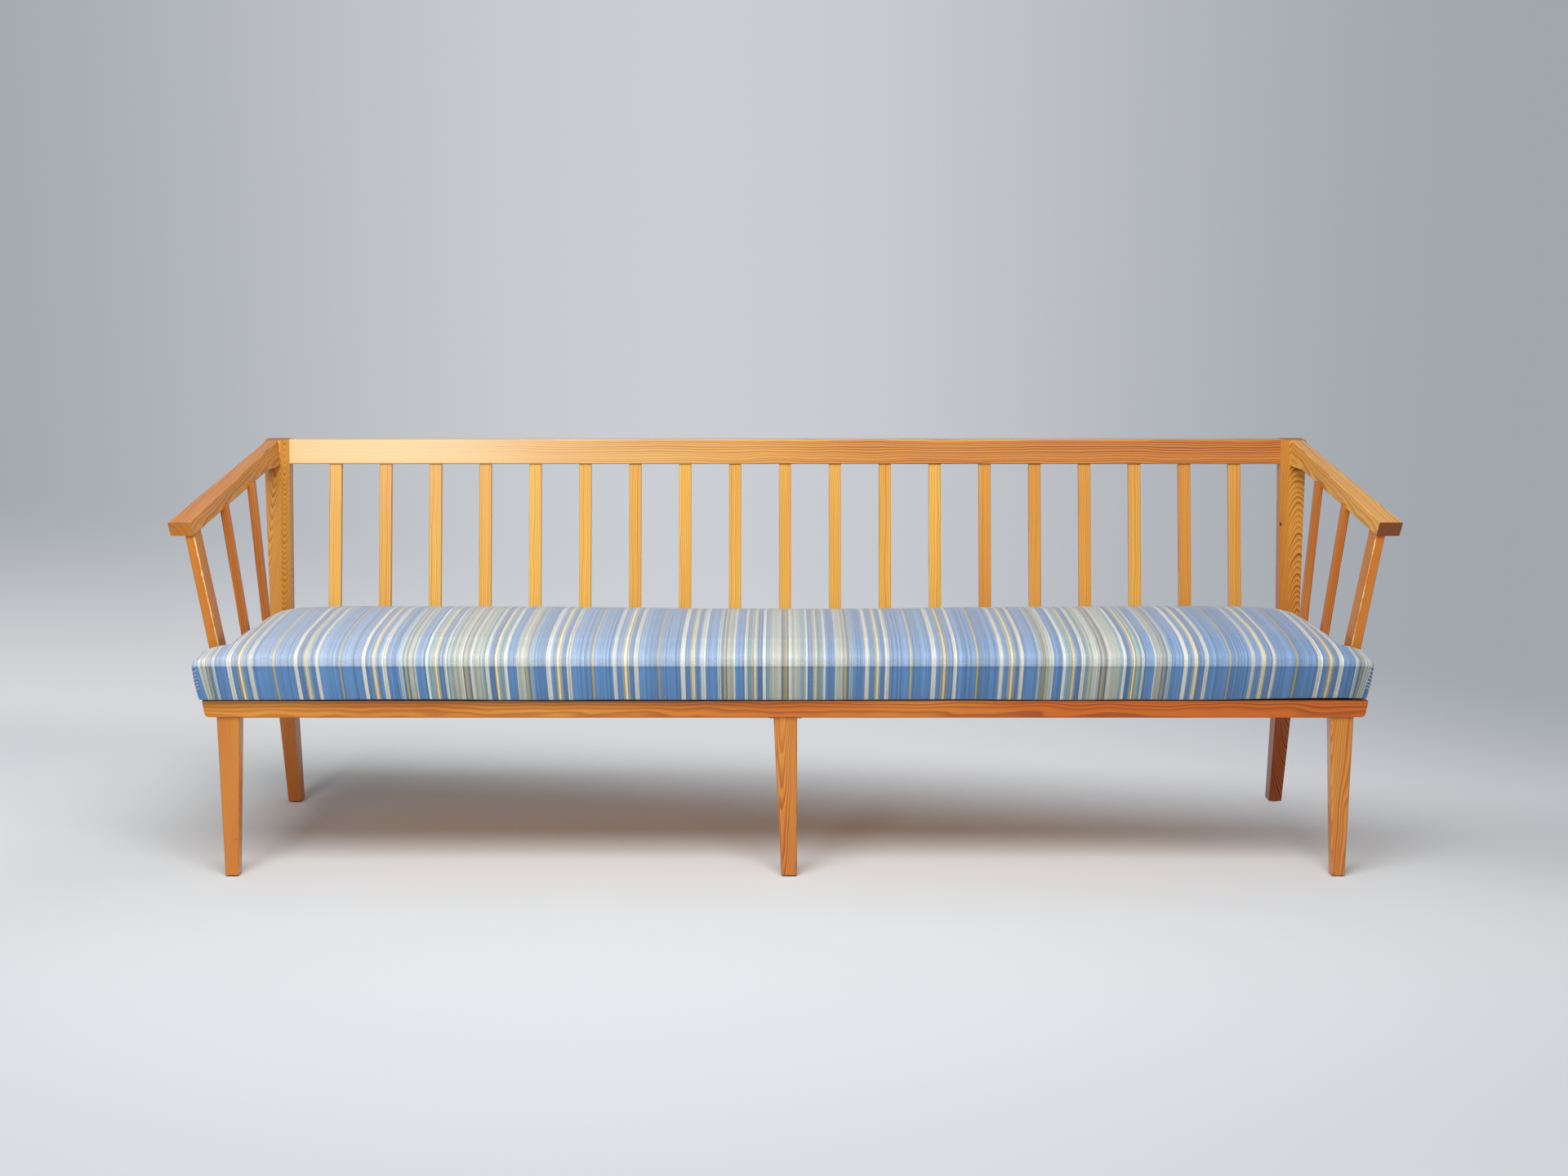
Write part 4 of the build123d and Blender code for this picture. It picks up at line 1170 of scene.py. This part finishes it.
        def point(i: int, j: int, level: int) -> bmesh.types.BMVert:
            """Take or make the vertex over one place of the plan.

            Args:
                i: Its column.
                j: Its row.
                level: Its level, from 0, the foot, to the top.

            Returns:
                The vertex.
            """
            if (i, j, level) not in points:
                share = levels[level]
                place = self.foot_point(columns[i], rows[j]).lerp(tops[i][j], share)
                if j == 0:
                    place.y -= self.front_bulge * self.front_lean * share * (1 - share)
                if i in (0, len(columns) - 1):
                    full = (1 - share) - (1 - share) ** 3
                    place.x += math.copysign(self.foot_taper * full, place.x)
                points[i, j, level] = shell.verts.new(place)
            return points[i, j, level]

        def add_face(corners: list[Spot], panel: Panel) -> None:
            """Add a face and write its place on the uncut cloth, where the top is above 0.

            Args:
                corners: Column, row and level of its corners.
                panel: The panel that it belongs to.
            """
            face = shell.faces.new([point(*corner) for corner in corners])
            face.smooth = True
            for loop, (i, j, level) in zip(face.loops, corners):
                fall = (1 - levels[level]) * self.front_height
                x, y = across[i][j], down[j]
                loop[cloth].uv = {
                    Panel.TOP: (x, y), Panel.FRONT: (across[i][0], -fall),
                    Panel.END: (x + math.copysign(fall, x), y - self.APART),
                    Panel.BACK: (x, -self.APART - fall),
                    Panel.FOOT: (columns[i][0], rows[j][0] - 3 * self.APART)}[panel]

        for i, j in cells:
            add_face([(i, j, last), (i + 1, j, last), (i + 1, j + 1, last), (i, j + 1, last)],
                     Panel.TOP)
            add_face([(i, j + 1, 0), (i + 1, j + 1, 0), (i + 1, j, 0), (i, j, 0)], Panel.FOOT)
        inside = set(cells)
        sides = (((0, -1), (0, 0), (1, 0), Panel.FRONT), ((0, 1), (1, 1), (0, 1), Panel.BACK),
                 ((-1, 0), (0, 1), (0, 0), Panel.END), ((1, 0), (1, 0), (1, 1), Panel.END))
        for i, j in cells:
            for (di, dj), start, end, panel in sides:
                if (i + di, j + dj) in inside:
                    continue
                a, b = (i + start[0], j + start[1]), (i + end[0], j + end[1])
                for level in range(last):
                    add_face([(*a, level), (*b, level), (*b, level + 1), (*a, level + 1)], panel)
        crease = shell.edges.layers.float.new("crease_edge")
        for i in range(len(columns) - 1):
            seam = shell.edges.get((points[i, 0, last], points[i + 1, 0, last]))
            seam[crease] = self.seam_crease
        return shell

    def lengths_across(self, columns: list[Pair], tops: list[list[Vector]]) -> list[list[float]]:
        """Distances from the middle stripe, measured over the top along each row.

        Args:
            columns: Places of the columns.
            tops: Points of the top panel by column and row.

        Returns:
            The distances by column and row; the front row keeps its straight ones.
        """
        middle, rows = len(columns) // 2, range(len(tops[0]))
        lengths = [[columns[middle][0]] * len(rows) for _ in columns]
        for way, order in ((1, range(middle + 1, len(columns))), (-1, range(middle - 1, -1, -1))):
            for i in order:
                near = i - way
                lengths[i] = [lengths[near][j] + way * (tops[i][j] - tops[near][j]).length
                              for j in rows]
        for length, (x, _) in zip(lengths, columns):
            length[0] = x
        return lengths

    def fill(self, cover: bpy.types.Object) -> None:
        """Swell the cover by a short cloth simulation with air pressure.

        Args:
            cover: The sewn cover, changed in place.
        """
        seam_z = self.low.z + self.front_height
        rest = [v.co.copy() for v in cover.data.vertices]
        held = cover.vertex_groups.new(name="held")
        walls = {v for p in cover.data.polygons if abs(p.normal.z) < self.STEEP
                 for v in p.vertices}
        for index, place in enumerate(rest):
            if place.z < self.low.z + self.FOOT_ZONE:
                held.add([index], self.FOOT_GRIP, "REPLACE")
            elif index in walls and place.z < seam_z + self.SEAM_ZONE:
                held.add([index], self.WALL_GRIP, "REPLACE")
        cloth = cover.modifiers.new("filling", "CLOTH")
        settings = cloth.settings
        settings.quality = 5
        settings.mass = 0.4
        settings.tension_stiffness = settings.compression_stiffness = 30.0
        settings.shear_stiffness = 15.0
        settings.bending_stiffness = 2.0
        settings.use_pressure = True
        settings.uniform_pressure_force = 4.0
        settings.vertex_group_mass = held.name
        settings.effector_weights.gravity = 0.0
        cloth.collision_settings.use_collision = False
        cloth.point_cache.frame_start, cloth.point_cache.frame_end = 1, self.frames
        scene = bpy.context.scene
        for number in range(1, self.frames + 1):
            scene.frame_set(number)
        filled = cover.evaluated_get(bpy.context.evaluated_depsgraph_get())
        swollen = [v.co.copy() for v in filled.data.vertices]
        cover.modifiers.remove(cloth)
        scene.frame_set(1)
        moves = self.evened(cover.data, [end - start for start, end in zip(rest, swollen)])
        for vertex, start, move in zip(cover.data.vertices, rest, moves):
            if start.z > seam_z:
                move = move * min(1.0, (start.y - self.low.y + 0.0005) / self.settle)
            if move.length > self.most:
                move = move * (self.most / move.length)
            vertex.co = self.kept_in(start, start + move)
        cover.vertex_groups.clear()

    def evened(self, mesh: bpy.types.Mesh, moves: list[Vector]) -> list[Vector]:
        """Even out the small wrinkles of the filling.

        Args:
            mesh: The cover.
            moves: How far each of its points moved.

        Returns:
            The moves, each taken towards the mean of its neighbours.
        """
        beside: list[list[int]] = [[] for _ in moves]
        for edge in mesh.edges:
            first, second = edge.vertices
            beside[first].append(second)
            beside[second].append(first)
        for _ in range(self.evening):
            moves = [move * self.KEPT + sum((moves[i] for i in near), Vector())
                     * ((1 - self.KEPT) / len(near)) for move, near in zip(moves, beside)]
        return moves

    def kept_in(self, start: Vector, end: Vector) -> Vector:
        """Keep a filled point off the arm frames, the back and the seat.

        Args:
            start: Where the point was sewn.
            end: Where the filling moved it.

        Returns:
            The point inside the cushion's room.
        """
        in_ear = start.y <= self.ear_back
        left, right = self.left - self.swell, self.right + self.swell
        if not in_ear:
            left, right = self.skin - self.notch, self.notch - self.skin
        wrapped = in_ear and abs(start.x) > self.notch - self.crease
        deepest = (self.ear_back if wrapped else self.high.y) - self.skin
        x = max(left, min(right, end.x))
        y = max(self.low.y - self.swell, min(deepest, end.y))
        return Vector((x, y, max(min(start.z, self.low.z), min(self.high.z, end.z))))

    def build(self) -> None:
        """Sew, fill and dress the cushion, and overcast its corner seams."""
        cover = add_shell("striped_cushion", self.shell(), StripedCloth().build())
        self.fill(cover)
        smooth = cover.modifiers.new("smooth", "SUBSURF")
        smooth.levels = smooth.render_levels = 1
        corners = [Vector((x, self.low.y, self.low.z)) for x in (self.left, self.right)]
        stitches = Stitching().sew(cover, corners)
        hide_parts("seat_cushion")
        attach(cover, "cushion")
        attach(stitches, "cushion")
        LOG.info("sewed and filled the cushion")


# ---------------------------------------------------------------- studio
@dataclass
class Studio:
    """Pale floor, seamless backdrop, soft lamps and the camera."""

    eye: Point = (-0.002, -3.896, 1.183)  # the camera's place
    pitch: float = 10.09  # how far it looks down, in degrees
    focal: float = 46.875  # its focal length in millimetres
    sensor: float = 36.0  # its width in millimetres
    bright_turn: float = math.radians(2.5)  # how far from straight ahead the wall is brightest
    bright_sides: float = 8.0  # how often it is as bright in a full turn
    horizon: Point = (0.12, -0.16, -0.27)  # slope, start and end of the bend from wall to floor
    room_light: float = 0.30
    floor_reach: float = 4.5
    squash: float = 0.55  # width of the floor's fading, as a share of its depth
    middle: float = 0.2  # how far ahead of the origin its middle is
    fade: Pair = (1.1, 1.9)  # distances from there over which the floor fades out
    # Slope in X, start and end in Y of what changes over the floor: its fading out, and its painted
    # shade at the right rear and near.
    fade_behind: Point = (0.25, 0.05, 0.75)
    dark_rear: Point = (0.488, 0.15, 1.0)
    dark_near: Point = (0.0, -0.5, -1.6)
    wall_dark: Colour = display(162, 167, 173)
    wall_bright: Colour = display(203, 206, 211)
    paper_far: Colour = display(216, 217, 220)
    paper: Colour = display(226, 230, 232)
    # painted shade of the floor, at the right rear and near
    paper_rear: Colour = display(196, 198, 203)
    paper_near: Colour = display(206, 207, 211)
    daylight: Colour = display(238, 241, 246)

    def camera(self) -> None:
        """Place the camera."""
        lens = bpy.data.cameras.new("camera")
        lens.sensor_width = self.sensor
        lens.lens = self.focal
        camera = bpy.data.objects.new("camera", lens)
        camera.location = self.eye
        camera.rotation_euler = (math.radians(90 - self.pitch), 0.0, 0.0)
        bpy.context.scene.collection.objects.link(camera)
        bpy.context.scene.camera = camera

    def lamp(self, name: str, place: Point, target: Point, size: Pair, power: float) -> None:
        """Hang a soft box.

        Args:
            name: Its name.
            place: Where it hangs.
            target: Where it points.
            size: Its width and height.
            power: Its power in watts.
        """
        light = bpy.data.lights.new(name, "AREA")
        light.shape = "RECTANGLE"
        light.size, light.size_y = size
        light.energy = power
        box = bpy.data.objects.new(name, light)
        box.location = place
        box.rotation_euler = (Vector(target) - Vector(place)).to_track_quat("-Z", "Y").to_euler()
        bpy.context.scene.collection.objects.link(box)

    def world(self) -> None:
        """Light the room evenly, and show a pale grey backdrop with painted shade that darkens it
        to the sides.
        """
        bpy.context.scene.world = bpy.data.worlds.new("room")
        graph = Graph(bpy.context.scene.world)
        seen = graph.value("LightPath", {}, "Is Camera Ray")
        for ray in ("Is Glossy Ray", "Is Transmission Ray"):
            seen = graph.math("MAXIMUM", seen, graph.value("LightPath", {}, ray))
        x, y, z = graph.split(graph.value("TexCoord", {}, "Generated"))
        turn = graph.math("ARCTAN2", x, y) + self.bright_turn
        share = graph.math("COSINE", turn * self.bright_sides) * 0.5 + 0.5
        wall = graph.blend(share, self.wall_dark, self.wall_bright)
        slope, start, end = self.horizon
        wall = graph.blend(graph.rise(z + x * slope, start, end), wall, self.paper_far)
        soft = graph.value("Background", {"Color": self.daylight, "Strength": self.room_light})
        shown = graph.value("Background", {"Color": wall, "Strength": 1.0})
        mixed = graph.value("MixShader", {0: seen, 1: soft, 2: shown})
        graph.node("OutputWorld", {"Surface": mixed})

    def floor(self) -> None:
        """Lay the pale floor with painted shade near and at the right rear and painted light at the
        left rear, faded out far away and behind.
        """
        graph = Graph.of_material("studio_floor")
        x, y, _ = graph.split(graph.place)
        behind, rear, near = (graph.rise(y + x * slope, start, end) for slope, start, end in
                              (self.fade_behind, self.dark_rear, self.dark_near))
        colour = graph.blend(rear, self.paper, self.paper_rear)
        colour = graph.blend(near, colour, self.paper_near)
        # painted light: paler towards the left rear
        colour = graph.lighten(colour, graph.rise(y * 0.6 - x, 1.0, 2.0) * 0.28 + 1.0)
        wide, deep = x * self.squash, y + self.middle
        away = graph.rise((wide * wide + deep * deep) ** 0.5, *self.fade)
        mixed = graph.value("MixShader", {0: graph.math("MAXIMUM", away, behind),
                                          1: graph.value("BsdfDiffuse", {"Color": colour}),
                                          2: graph.value("BsdfTransparent", {})})
        graph.node("OutputMaterial", {"Surface": mixed})
        shell = bmesh.new()
        reach = self.floor_reach
        corners = ((-reach, -reach), (reach, -reach), (reach, reach), (-reach, reach))
        shell.faces.new([shell.verts.new((*corner, 0.0)) for corner in corners])
        add_shell("floor", shell, graph.owner)

    def build(self) -> None:
        """Set up the room, the lamps and the camera."""
        bpy.context.scene.view_settings.view_transform = "Standard"
        self.camera()
        self.world()
        self.floor()
        self.lamp("overhead_box", place=(-0.25, -2.0, 3.0), target=(0.0, 0.0, 0.35),
                  size=(3.2, 1.4), power=104.0)
        self.lamp("key_box", place=(-1.6, -3.7, 2.2), target=(-0.1, 0.1, 0.5),
                  size=(1.0, 0.8), power=18.0)
        LOG.info("set up the studio")


# ---------------------------------------------------------------- scene
def main() -> None:
    """Build every class in order."""
    logging.basicConfig(level=logging.INFO, format="%(name)s: %(message)s", force=True)
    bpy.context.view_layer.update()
    Studio().build()
    BackRest().build()
    SideFrame("left", tone=0.64, arm_tone=0.62, arm_end=0.22, chips=0.0035).build()
    SideFrame("right", tone=0.66, arm_tone=0.22, arm_end=0.95, chips=0.0022).build()
    PullOutFront().build()
    SlattedSeat().build()
    SmallParts().build()
    SeatCushion().build()


if __name__ == "__main__":
    main()
